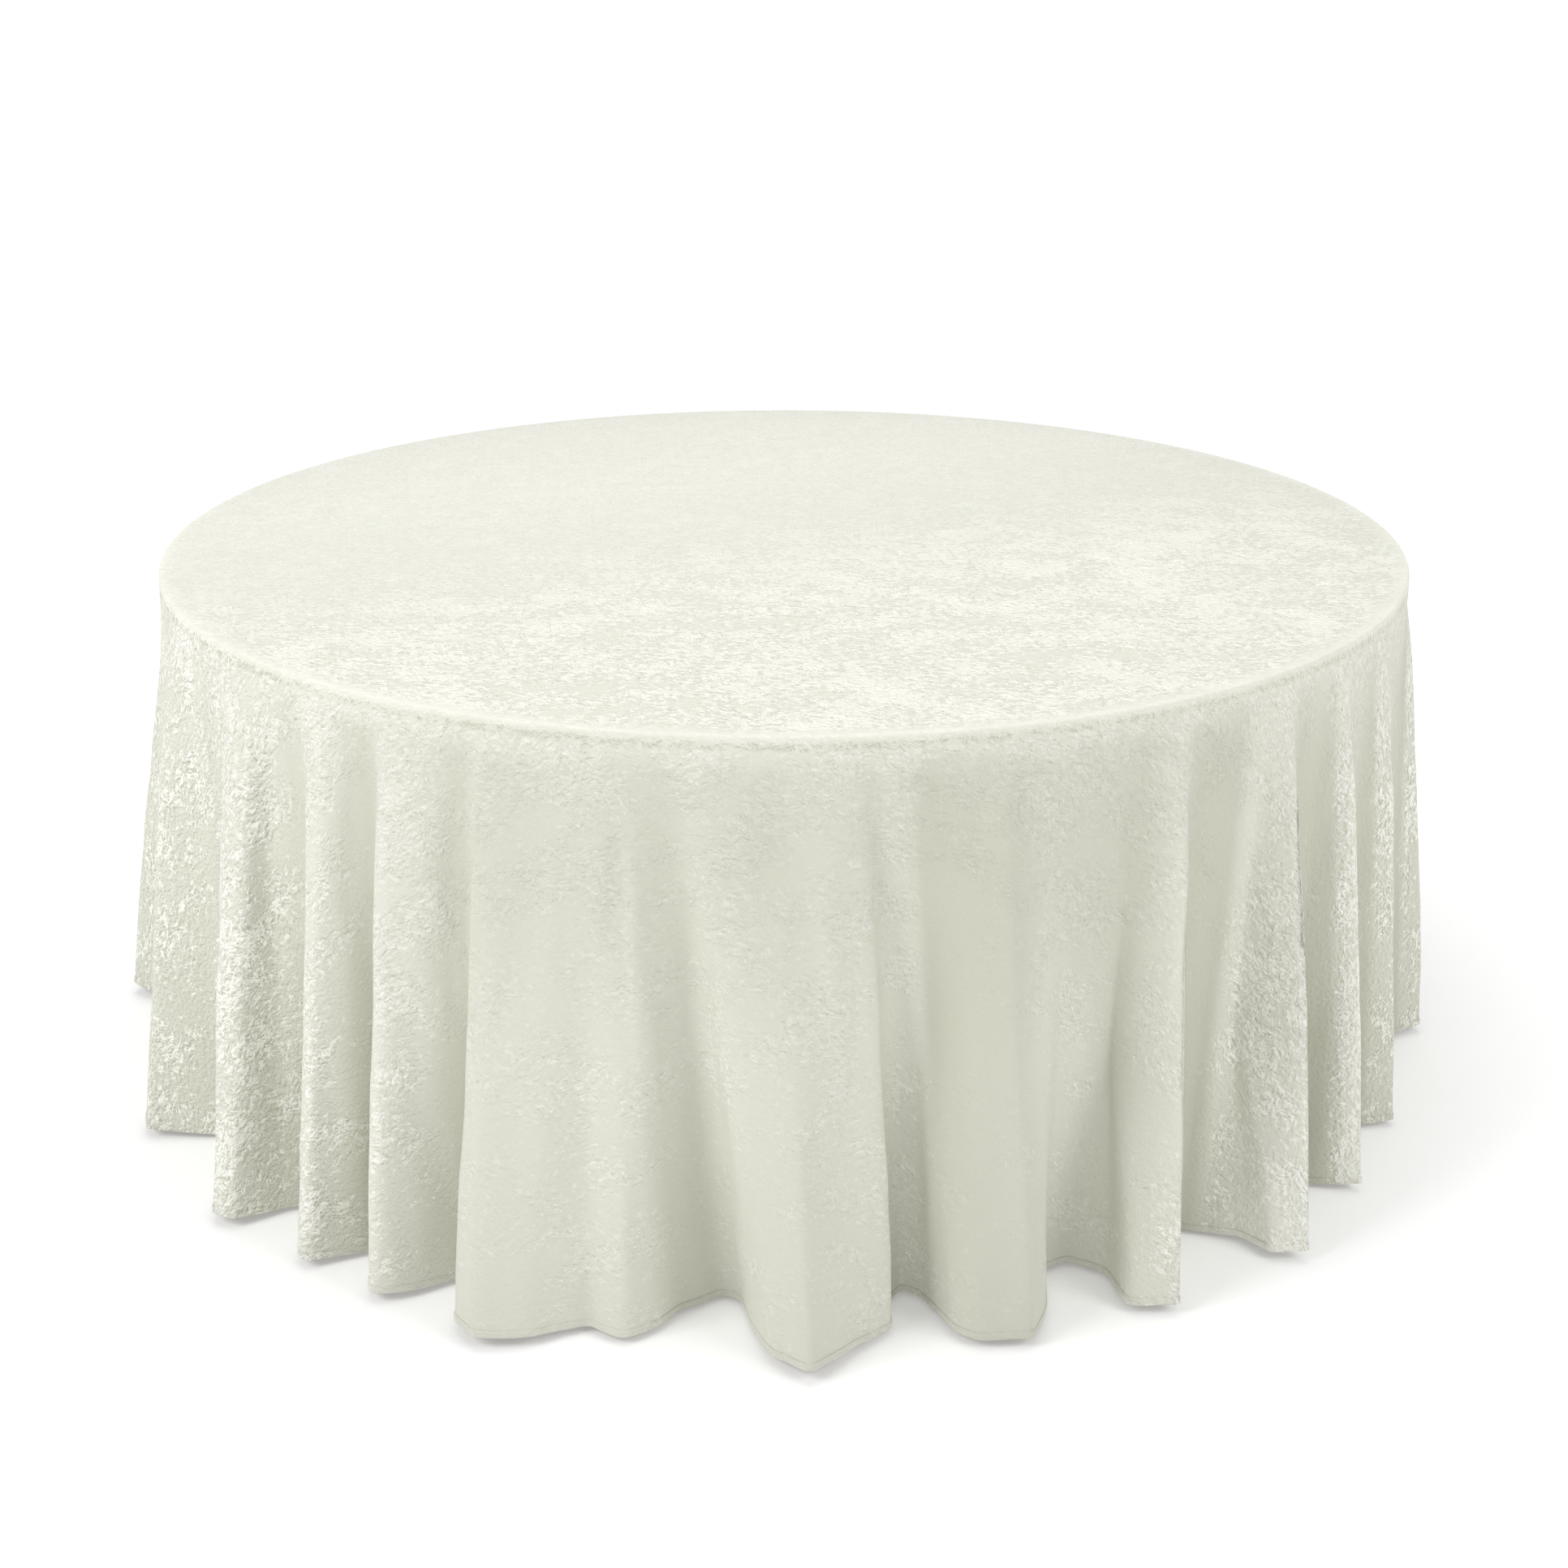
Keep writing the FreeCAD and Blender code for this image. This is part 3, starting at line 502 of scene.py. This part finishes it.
def hem_piece(rows, flats, turns, painted_shades):
    """The narrow turned edge, a closed band a little thicker than the cloth that it ends."""
    edge = rows[-1]
    above = rows[-3]
    along = np.roll(edge, -1, axis=0) - np.roll(edge, 1, axis=0)
    along /= np.linalg.norm(along, axis=1, keepdims=True)
    down = edge - above
    down /= np.linalg.norm(down, axis=1, keepdims=True)
    out = np.cross(down, along)
    out /= np.linalg.norm(out, axis=1, keepdims=True)
    sections = []
    reaches = []
    for step in range(HEM_STEPS):
        turn = 2 * math.pi * step / HEM_STEPS
        across = rounded(math.cos(turn), HEM_SIDE_ROUNDNESS) * HEM_THICKNESS / 2
        lengthwise = (1 + rounded(math.sin(turn), HEM_END_ROUNDNESS)) * HEM_HEIGHT / 2
        sections.append(edge + out * across + down * (lengthwise - HEM_OVERLAP))
        reaches.append(flats[-1] + lengthwise)
    vertices = np.array(sections).reshape(-1, 3).tolist()
    faces = []
    for step in range(HEM_STEPS):
        following = (step + 1) % HEM_STEPS
        for column in range(COLUMNS):
            beside = (column + 1) % COLUMNS
            faces.append((
                step * COLUMNS + column, following * COLUMNS + column,
                following * COLUMNS + beside, step * COLUMNS + beside))
    piece = new_piece("cloth_hem", vertices, faces)
    add_flat_map(piece.data, flat_points(np.array(reaches), np.tile(turns[-1], (HEM_STEPS, 1))))
    # The painted shade and painted light of the folds, read by the velvet.
    add_value(piece.data, "shade", np.tile(painted_shades[-1], HEM_STEPS))
    add_value(piece.data, "drop", np.full(HEM_STEPS * COLUMNS, SKIRT_LENGTH))
    return piece


# ---------------------------------------------------------------- material helpers


class Nodes:
    """A material being built: short calls that add nodes and join them up."""

    def __init__(self, name):
        self.material = bpy.data.materials.new(name)
        self.material.use_nodes = True
        self.tree = self.material.node_tree
        self.shader = self.tree.nodes["Principled BSDF"]

    def add(self, kind, **settings):
        node = self.tree.nodes.new(kind)
        for key, value in settings.items():
            setattr(node, key, value)
        return node

    def feed(self, socket, value):
        """Join an output to a socket, or set the socket to a plain value."""
        if isinstance(value, bpy.types.NodeSocket):
            self.tree.links.new(value, socket)
        else:
            socket.default_value = value

    def flat(self):
        return self.add("ShaderNodeUVMap", uv_map="flat").outputs["UV"]

    def object_place(self):
        return self.add("ShaderNodeTexCoord").outputs["Object"]

    def value(self, name):
        return self.add("ShaderNodeAttribute", attribute_name=name).outputs["Fac"]

    def scaled(self, vector, scale, shift=(0, 0, 0)):
        node = self.add("ShaderNodeMapping")
        self.feed(node.inputs["Vector"], vector)
        node.inputs["Scale"].default_value = scale
        node.inputs["Location"].default_value = shift
        return node.outputs["Vector"]

    def noise(self, vector, scale, detail=2.0, roughness=0.5, distortion=0.0):
        node = self.add("ShaderNodeTexNoise")
        self.feed(node.inputs["Vector"], vector)
        node.inputs["Scale"].default_value = scale
        node.inputs["Detail"].default_value = detail
        node.inputs["Roughness"].default_value = roughness
        node.inputs["Distortion"].default_value = distortion
        return node.outputs["Fac"]

    def cells(self, vector, scale, output="Distance"):
        node = self.add("ShaderNodeTexVoronoi", feature="F1")
        self.feed(node.inputs["Vector"], vector)
        node.inputs["Scale"].default_value = scale
        return node.outputs[output]

    def math(self, operation, *values):
        node = self.add("ShaderNodeMath", operation=operation)
        for socket, value in zip(node.inputs, values):
            self.feed(socket, value)
        return node.outputs[0]

    def step(self, value, low, high, to_low=0.0, to_high=1.0):
        """A soft step from one value to another as the input passes from low to high."""
        node = self.add("ShaderNodeMapRange", interpolation_type="SMOOTHSTEP")
        self.feed(node.inputs["Value"], value)
        node.inputs["From Min"].default_value = low
        node.inputs["From Max"].default_value = high
        node.inputs["To Min"].default_value = to_low
        node.inputs["To Max"].default_value = to_high
        return node.outputs["Result"]

    def mix(self, share, first, second):
        node = self.add("ShaderNodeMix", data_type="RGBA")
        factor, a, b = node.inputs[0], node.inputs[6], node.inputs[7]
        self.feed(factor, share)
        self.feed(a, first)
        self.feed(b, second)
        return node.outputs[2]

    def bump(self, height):
        """Bump from a height in metres."""
        node = self.add("ShaderNodeBump")
        node.inputs["Strength"].default_value = 1.0
        node.inputs["Distance"].default_value = 1.0
        self.feed(node.inputs["Height"], height)
        self.feed(self.shader.inputs["Normal"], node.outputs["Normal"])

    def set(self, **inputs):
        for key, value in inputs.items():
            self.feed(self.shader.inputs[key.replace("_", " ")], value)
        return self.material


def colour(red, green, blue):
    return (red, green, blue, 1.0)


# ---------------------------------------------------------------- velvet


# Colours of the velvet: its ground, and the pale and dark ones towards which its random pile tone,
# its painted light and its painted shade are mixed.
VELVET_GROUND = (0.685, 0.685, 0.605)
VELVET_PALE_AND_PAINTED_LIGHT = (0.92, 0.92, 0.855)
VELVET_DARK_AND_PAINTED_SHADE = (0.46, 0.46, 0.37)

# The pattern is a little finer down the cloth than across it.
CRINKLE_STRETCH = (1.0, 1.3, 1.0)
FLECK_STRETCH = (1.0, 1.4, 1.0)

# How far the copy of the crinkles is shifted whose difference from them paints light on their upper
# sides and shade under them.
LIT_SHIFT = (0.0008, 0.0019, 0.0)


def swirled(n, flat):
    """The place on the flat cloth, drawn about by up to 30 mm so that the pattern runs in swirls."""
    swirl = n.add("ShaderNodeTexNoise")
    n.feed(swirl.inputs["Vector"], flat)
    swirl.inputs["Scale"].default_value = 18.0
    drawn = n.add("ShaderNodeVectorMath", operation="MULTIPLY_ADD")
    n.feed(drawn.inputs[0], swirl.outputs["Color"])
    drawn.inputs[1].default_value = (0.030, 0.030, 0.0)
    n.feed(drawn.inputs[2], flat)
    return drawn.outputs["Vector"]


def crushing(n, flat, drop, away):
    """How crushed the pile is: in soft patches, more below the rim, less low down and in painted shade.
    """
    patches = n.noise(n.scaled(flat, FLECK_STRETCH), 11.0, detail=5.0, roughness=0.62, distortion=0.3)
    broad = n.noise(flat, 2.6, detail=2.0)
    amount = n.math("ADD", patches, n.step(drop, 0.02, 0.24, 0.10, 0.0))
    amount = n.math("SUBTRACT", amount, n.step(drop, 0.20, 0.62, 0.0, 0.06))
    amount = n.math("ADD", amount, n.math("MULTIPLY", n.math("SUBTRACT", broad, 0.5), 0.40))
    return n.math("SUBTRACT", amount, n.math("MULTIPLY", away, 0.16))


def crinkle(n, place, shift):
    """The worm-like crinkles of the pressed pile."""
    return n.noise(
        n.scaled(place, CRINKLE_STRETCH, shift), 150.0, detail=2.5, roughness=0.58, distortion=0.6)


def pattern_tone(n, place, crinkles, fine, crushed, amount):
    """The pattern's tone about 0: painted light and shade on the crinkles, fine pile, and ragged pale
    flecks in the patches.
    """
    # Painted light on the upper side of each crinkle and painted shade under it.
    painted_crinkle_light = n.math("SUBTRACT", crinkles, crinkle(n, place, LIT_SHIFT))
    flecks = n.noise(n.scaled(place, FLECK_STRETCH), 84.0, detail=5.0, roughness=0.72, distortion=0.4)
    pile = n.math("MULTIPLY", n.math("SUBTRACT", fine, 0.5), 1.2)
    tone = n.math("ADD", n.math("MULTIPLY", painted_crinkle_light, 2.6), pile)
    tone = n.math("MULTIPLY", tone, n.step(crushed, 0.0, 1.0, 0.30, 0.85))
    density = n.math("MULTIPLY", n.math("SUBTRACT", amount, 0.52), 0.5)
    return n.math("ADD", tone, n.step(n.math("ADD", flecks, density), 0.500, 0.556, -0.10, 0.26))


def placed_tone(n, tone, across, along, drop):
    """The tone with a contrast that differs by place: more at the sides, less far back on the top. It
    scales the painted light and shade of the crinkles, and light is painted on the far left of the top.
    """
    shifted = n.math("SUBTRACT", n.math("ABSOLUTE", across), n.step(across, 0.0, 0.6, 0.0, 0.18))
    on_skirt = n.step(shifted, 0.42, 1.10, 0.58, 1.60)
    diagonal = n.math("SUBTRACT", along, n.math("MULTIPLY", across, 0.45))
    on_top = n.step(diagonal, 0.35, -0.50, 0.22, 1.05)
    beyond_rim = n.step(drop, -0.030, 0.0)
    within_rim = n.math("SUBTRACT", 1.0, beyond_rim)
    contrast = n.math(
        "ADD", n.math("MULTIPLY", on_skirt, beyond_rim), n.math("MULTIPLY", on_top, within_rim))
    # Painted light on the far left of the top.
    painted_top_light = n.math("MULTIPLY", n.step(diagonal, -0.15, 0.45, 0.0, 0.16), within_rim)
    return n.math("ADD", n.math("MULTIPLY", tone, contrast), painted_top_light)


def rimmed_tone(n, tone, fine, drop):
    """The tone along the rim, where the pile is pressed flat and calmer and a highlight is painted, and
    a broken line of painted shade under it.
    """
    # Painted highlight along the rim, and below it a broken line of painted shade.
    rim = n.math("MULTIPLY", n.step(drop, -0.035, -0.006), n.step(drop, 0.003, -0.001))
    painted_under_rim_shade = n.step(n.math("ABSOLUTE", n.math("SUBTRACT", drop, 0.008)), 0.008, 0.001)
    calmer = n.math("SUBTRACT", 1.0, n.math("MULTIPLY", rim, 0.7))
    tone = n.math("ADD", n.math("MULTIPLY", tone, calmer), n.math("MULTIPLY", rim, 0.14))
    return n.math("SUBTRACT", tone, n.math("MULTIPLY", painted_under_rim_shade, n.step(fine, 0.35, 0.60, 0.05, 0.35)))


def velvet_colour(n, tone, across, drop, away, shade):
    """The ground, paler or darker with the tone, with the painted shade and light of each fold, and with
    painted shade on the middle of the skirt.
    """
    ground = colour(*[shade * part for part in VELVET_GROUND])
    bright = colour(*[shade * part for part in VELVET_PALE_AND_PAINTED_LIGHT])
    dark = colour(*[shade * part for part in VELVET_DARK_AND_PAINTED_SHADE])
    body = n.mix(n.step(tone, 0.0, 0.60), ground, bright)
    body = n.mix(n.step(tone, 0.0, -0.60), body, dark)
    # Painted shade on the middle of the skirt, front and back, most just below the rim.
    middle = n.step(n.math("ABSOLUTE", across), 0.30, 0.85, 1.0, 0.0)
    middle = n.math("MULTIPLY", middle, n.step(drop, 0.0, 0.05, 0.0, 0.42))
    lean = n.math("ADD", away, n.math("MULTIPLY", middle, n.step(drop, 0.10, 0.45, 1.0, 0.32)))
    # The sum is painted shade above 0 and painted light below 0.
    body = n.mix(n.step(lean, 0.0, 1.0, 0.0, 0.60), body, dark)
    return n.mix(n.step(lean, 0.0, -1.0, 0.0, 0.60), body, bright)


def velvet_relief(n, flat, crinkles, fine, crushed, drop):
    """Height of the pile in metres: up to 3 mm in the crushed patches, and calm along the rim."""
    pile = n.math("MULTIPLY", n.math("SUBTRACT", fine, 0.5), 0.30)
    raised = n.math("ADD", n.math("SUBTRACT", crinkles, 0.5), pile)
    relief = n.math("MULTIPLY", raised, n.step(crushed, 0.0, 1.0, 0.0008, 0.0028))
    relief = n.math("MULTIPLY", relief, n.step(n.math("ABSOLUTE", drop), 0.002, 0.020, 0.2, 1.0))
    relief = n.math("MULTIPLY", relief, n.step(drop, 0.15, 0.50, 1.0, 0.65))
    return n.math("ADD", relief, n.math("MULTIPLY", n.noise(flat, 800.0, detail=1.0), 0.00006))


def velvet(name, shade=1.0):
    """Ivory crushed velvet: a satin ground whose pile is pressed into fine worm-like crinkles.

    The crinkles cover nearly everything. They are strongest in soft patches and below the rim, and
    they fade in the painted shade of the folds. Each one has painted light on its upper side and
    painted shade under it. Inside the patches lie ragged pale flecks. Along the rim the pile is
    pressed flat and a highlight is painted, and the folds and the middle of the skirt carry painted
    shade and light. All of it is laid out on the flat cloth.
    """
    n = Nodes(name)
    flat = n.flat()
    # Painted shade of the folds, and painted light where it is below 0.
    away = n.value("shade")
    drop = n.value("drop")
    apart = n.add("ShaderNodeSeparateXYZ")
    n.feed(apart.inputs[0], flat)
    across = apart.outputs["X"]
    along = apart.outputs["Y"]

    place = swirled(n, flat)
    amount = crushing(n, flat, drop, away)
    crushed = n.step(amount, 0.30, 0.66)
    crinkles = crinkle(n, place, (0.0, 0.0, 0.0))
    fine = n.noise(n.scaled(place, CRINKLE_STRETCH), 340.0, detail=2.0, roughness=0.6)

    tone = pattern_tone(n, place, crinkles, fine, crushed, amount)
    tone = placed_tone(n, tone, across, along, drop)
    tone = rimmed_tone(n, tone, fine, drop)
    n.bump(velvet_relief(n, flat, crinkles, fine, crushed, drop))
    return n.set(
        Base_Color=velvet_colour(n, tone, across, drop, away, shade),
        Roughness=n.step(crushed, 0.0, 1.0, 0.62, 0.75), Sheen_Weight=0.25, Sheen_Roughness=0.35,
        Sheen_Tint=colour(1.0, 1.0, 0.96), Specular_IOR_Level=0.25)


# ---------------------------------------------------------------- table finishes


def wood(name, pale, brown, along, gloss):
    """Sealed wood with its grain along one axis."""
    n = Nodes(name)
    place = n.object_place()
    long_grain = tuple(0.7 if axis == along else 9.0 for axis in range(3))
    fibre_grain = tuple(5.0 if axis == along else 150.0 for axis in range(3))
    figure = n.noise(n.scaled(place, long_grain), 3.0, detail=5.0, roughness=0.6, distortion=1.2)
    fibre = n.noise(n.scaled(place, fibre_grain), 3.0, detail=2.0)
    rings = n.math("SINE", n.math("MULTIPLY", figure, 46.0))
    body = n.mix(n.step(rings, -1.0, 1.0), pale, brown)
    pore = colour(*[0.6 * part for part in brown[:3]])
    body = n.mix(n.step(fibre, 0.55, 0.72, 0.0, 0.45), body, pore)
    n.bump(n.math("MULTIPLY", fibre, 0.00012))
    return n.set(
        Base_Color=body, Roughness=n.step(fibre, 0.3, 0.7, gloss, gloss + 0.15), Coat_Weight=0.15,
        Coat_Roughness=0.25)


def vinyl_band():
    """Dark brown moulding with a fine leathery grain and pale scuffs."""
    n = Nodes("band")
    place = n.object_place()
    pebbles = n.cells(place, 700.0)
    scuffs = n.noise(n.scaled(place, (1.0, 1.0, 6.0)), 30.0, detail=6.0, roughness=0.7)
    brown = colour(0.060, 0.042, 0.030)
    scuffed = colour(0.20, 0.16, 0.12)
    body = n.mix(n.step(scuffs, 0.62, 0.75, 0.0, 0.35), brown, scuffed)
    n.bump(n.math("MULTIPLY", pebbles, 0.00020))
    return n.set(Base_Color=body, Roughness=n.step(scuffs, 0.3, 0.7, 0.42, 0.60))


def powder_coat(name, dark, rubbed):
    """Charcoal powder coat with orange peel, and rubbed places where it shows a greyer tone."""
    n = Nodes(name)
    place = n.object_place()
    peel = n.noise(place, 900.0, detail=2.0)
    tone = n.noise(place, 14.0, detail=5.0, roughness=0.65)
    scratch = n.noise(n.scaled(place, (40.0, 40.0, 260.0)), 1.0, detail=3.0, distortion=0.6)
    body = n.mix(n.step(tone, 0.35, 0.70), dark, rubbed)
    body = n.mix(n.step(scratch, 0.70, 0.76, 0.0, 0.5), body, colour(0.30, 0.30, 0.30))
    n.bump(n.math("MULTIPLY", peel, 0.00010))
    return n.set(Base_Color=body, Roughness=n.step(tone, 0.3, 0.7, 0.42, 0.58), Specular_IOR_Level=0.45)


def zinc(name, tint, grain):
    """Zinc-plated steel with faint spangles and fine brushing."""
    n = Nodes(name)
    place = n.object_place()
    spangle = n.cells(place, 160.0, output="Color")
    brushing = n.noise(n.scaled(place, grain), 1.0, detail=3.0)
    cloud = n.noise(place, 40.0, detail=4.0)
    body = n.mix(0.10, tint, spangle)
    body = n.mix(n.step(cloud, 0.45, 0.75, 0.0, 0.35), body, colour(0.34, 0.34, 0.33))
    n.bump(n.math("MULTIPLY", brushing, 0.00003))
    return n.set(
        Base_Color=body, Metallic=1.0, Roughness=n.step(brushing, 0.3, 0.7, 0.28, 0.48))


def rubber():
    """Black moulded rubber, dusty in its fine texture."""
    n = Nodes("foot_plastic")
    place = n.object_place()
    texture = n.noise(place, 600.0, detail=3.0)
    dust = n.noise(place, 45.0, detail=5.0, roughness=0.7)
    black = colour(0.022, 0.022, 0.022)
    dusty = colour(0.12, 0.115, 0.105)
    body = n.mix(n.step(dust, 0.50, 0.72, 0.0, 0.4), black, dusty)
    n.bump(n.math("MULTIPLY", texture, 0.00015))
    return n.set(Base_Color=body, Roughness=n.step(dust, 0.4, 0.7, 0.68, 0.88))


def dress_frame():
    """Give every CAD node that stays in view the finish of its slot."""
    birch = (colour(0.62, 0.45, 0.27), colour(0.50, 0.33, 0.17))
    pine = (colour(0.56, 0.38, 0.20), colour(0.38, 0.22, 0.10))
    grain_along_x = 0
    grain_along_y = 1
    finishes = {
        "plywood": wood("plywood", *birch, grain_along_x, 0.38),
        "band": vinyl_band(),
        "leg_paint": powder_coat("leg_paint", colour(0.020, 0.021, 0.023), colour(0.034, 0.035, 0.037)),
        "bracket_steel": powder_coat(
            "bracket_steel", colour(0.026, 0.027, 0.029), colour(0.045, 0.046, 0.048)),
        "link_steel": zinc("link_steel", colour(0.56, 0.57, 0.58), (60.0, 600.0, 600.0)),
        "fastener_steel": zinc("fastener_steel", colour(0.60, 0.60, 0.59), (500.0, 500.0, 500.0)),
        "foot_plastic": rubber(),
    }
    runner_wood = wood("rail_wood", *pine, grain_along_x, 0.48)
    rail_wood = wood("rail_wood_across", *pine, grain_along_y, 0.48)
    for part in frame["record"]["subparts"]:
        node = frame["nodes"][part["node"]]
        finish = finishes.get(part["material_slot"])
        if part["node"].startswith("runner"):
            finish = runner_wood
        elif part["node"].startswith("brace_rail"):
            finish = rail_wood
        if finish is not None:
            for place in node.material_slots:
                place.material = finish


dress_frame()

# ---------------------------------------------------------------- build the cloth

# The turned edge is a little darker than the cloth.
HEM_SHADE = 0.97

rows, flats, turns, painted_shades = cloth_rows()
rows = rippled(rows, flats, turns)

cloth = cloth_piece(rows, flats, turns, painted_shades)
cloth.data.materials.append(velvet("velvet"))
hem = hem_piece(rows, flats, turns, painted_shades)
hem.data.materials.append(velvet("hem_velvet", HEM_SHADE))

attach(cloth, "cloth")
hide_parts("tablecloth")
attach(hem, "cloth")
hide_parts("hem")

# ---------------------------------------------------------------- camera, light and floor

# The camera stands in front of the table and looks down on it. Lens and sensor are in millimetres,
# and the tilt is from straight down.
CAMERA_PLACE = (0, -3.023, 1.542)
CAMERA_TILT = math.radians(68.4)
LENS = 46.64
SENSOR_WIDTH = 36

camera_data = bpy.data.cameras.new("camera")
camera_data.lens = LENS
camera_data.sensor_width = SENSOR_WIDTH
camera = bpy.data.objects.new("camera", camera_data)
camera.location = CAMERA_PLACE
camera.rotation_euler = (CAMERA_TILT, 0, 0)
bpy.context.collection.objects.link(camera)
bpy.context.scene.camera = camera

FLOOR_HALF = 400.0
WORLD_STRENGTH = 0.385


def pale_floor():
    """A large pale floor that brightens away from the table, like a lit studio sweep."""
    mesh = bpy.data.meshes.new("floor")
    mesh.from_pydata([
        (-FLOOR_HALF, -FLOOR_HALF, 0), (FLOOR_HALF, -FLOOR_HALF, 0),
        (FLOOR_HALF, FLOOR_HALF, 0), (-FLOOR_HALF, FLOOR_HALF, 0)], [], [(0, 1, 2, 3)])
    floor = bpy.data.objects.new("floor", mesh)
    bpy.context.collection.objects.link(floor)
    n = Nodes("floor")
    place = n.object_place()
    length = n.add("ShaderNodeVectorMath", operation="LENGTH")
    n.feed(length.inputs[0], place)
    glow = n.step(length.outputs["Value"], 0.9, 2.2, 0.24, 0.50)
    glow = n.math("ADD", glow, n.step(length.outputs["Value"], 3.0, 10.0, 0.0, 0.30))
    mottle = n.noise(place, 0.8, detail=2.0)
    mesh.materials.append(n.set(
        Base_Color=n.mix(mottle, colour(0.80, 0.80, 0.80), colour(0.82, 0.82, 0.82)), Roughness=0.9,
        Emission_Color=colour(1.0, 1.0, 1.0), Emission_Strength=glow))


pale_floor()

world = bpy.data.worlds.new("studio")
world.use_nodes = True
world.node_tree.nodes["Background"].inputs["Color"].default_value = (1, 1, 1, 1)
world.node_tree.nodes["Background"].inputs["Strength"].default_value = WORLD_STRENGTH
bpy.context.scene.world = world
bpy.context.scene.view_settings.view_transform = "Standard"


def area_light(name, location, aim, size, power):
    """A square soft light of a given size in metres and power in watts, turned towards a point."""
    data = bpy.data.lights.new(name, "AREA")
    data.size = size
    data.energy = power
    light = bpy.data.objects.new(name, data)
    light.location = location
    direction = Vector(aim) - Vector(location)
    light.rotation_euler = direction.to_track_quat("-Z", "Y").to_euler()
    bpy.context.collection.objects.link(light)


area_light("left", (-3.4, -2.6, 3.4), (0, -0.2, 0.5), 2.0, 108)
area_light("right", (3.4, -2.6, 3.2), (0, -0.2, 0.5), 2.0, 66)
area_light("front", (0, -4.6, 2.3), (0, -0.6, 0.4), 2.4, 8)
area_light("top", (0, 0.6, 4.2), (0, 0, 0.7), 3.0, 84)
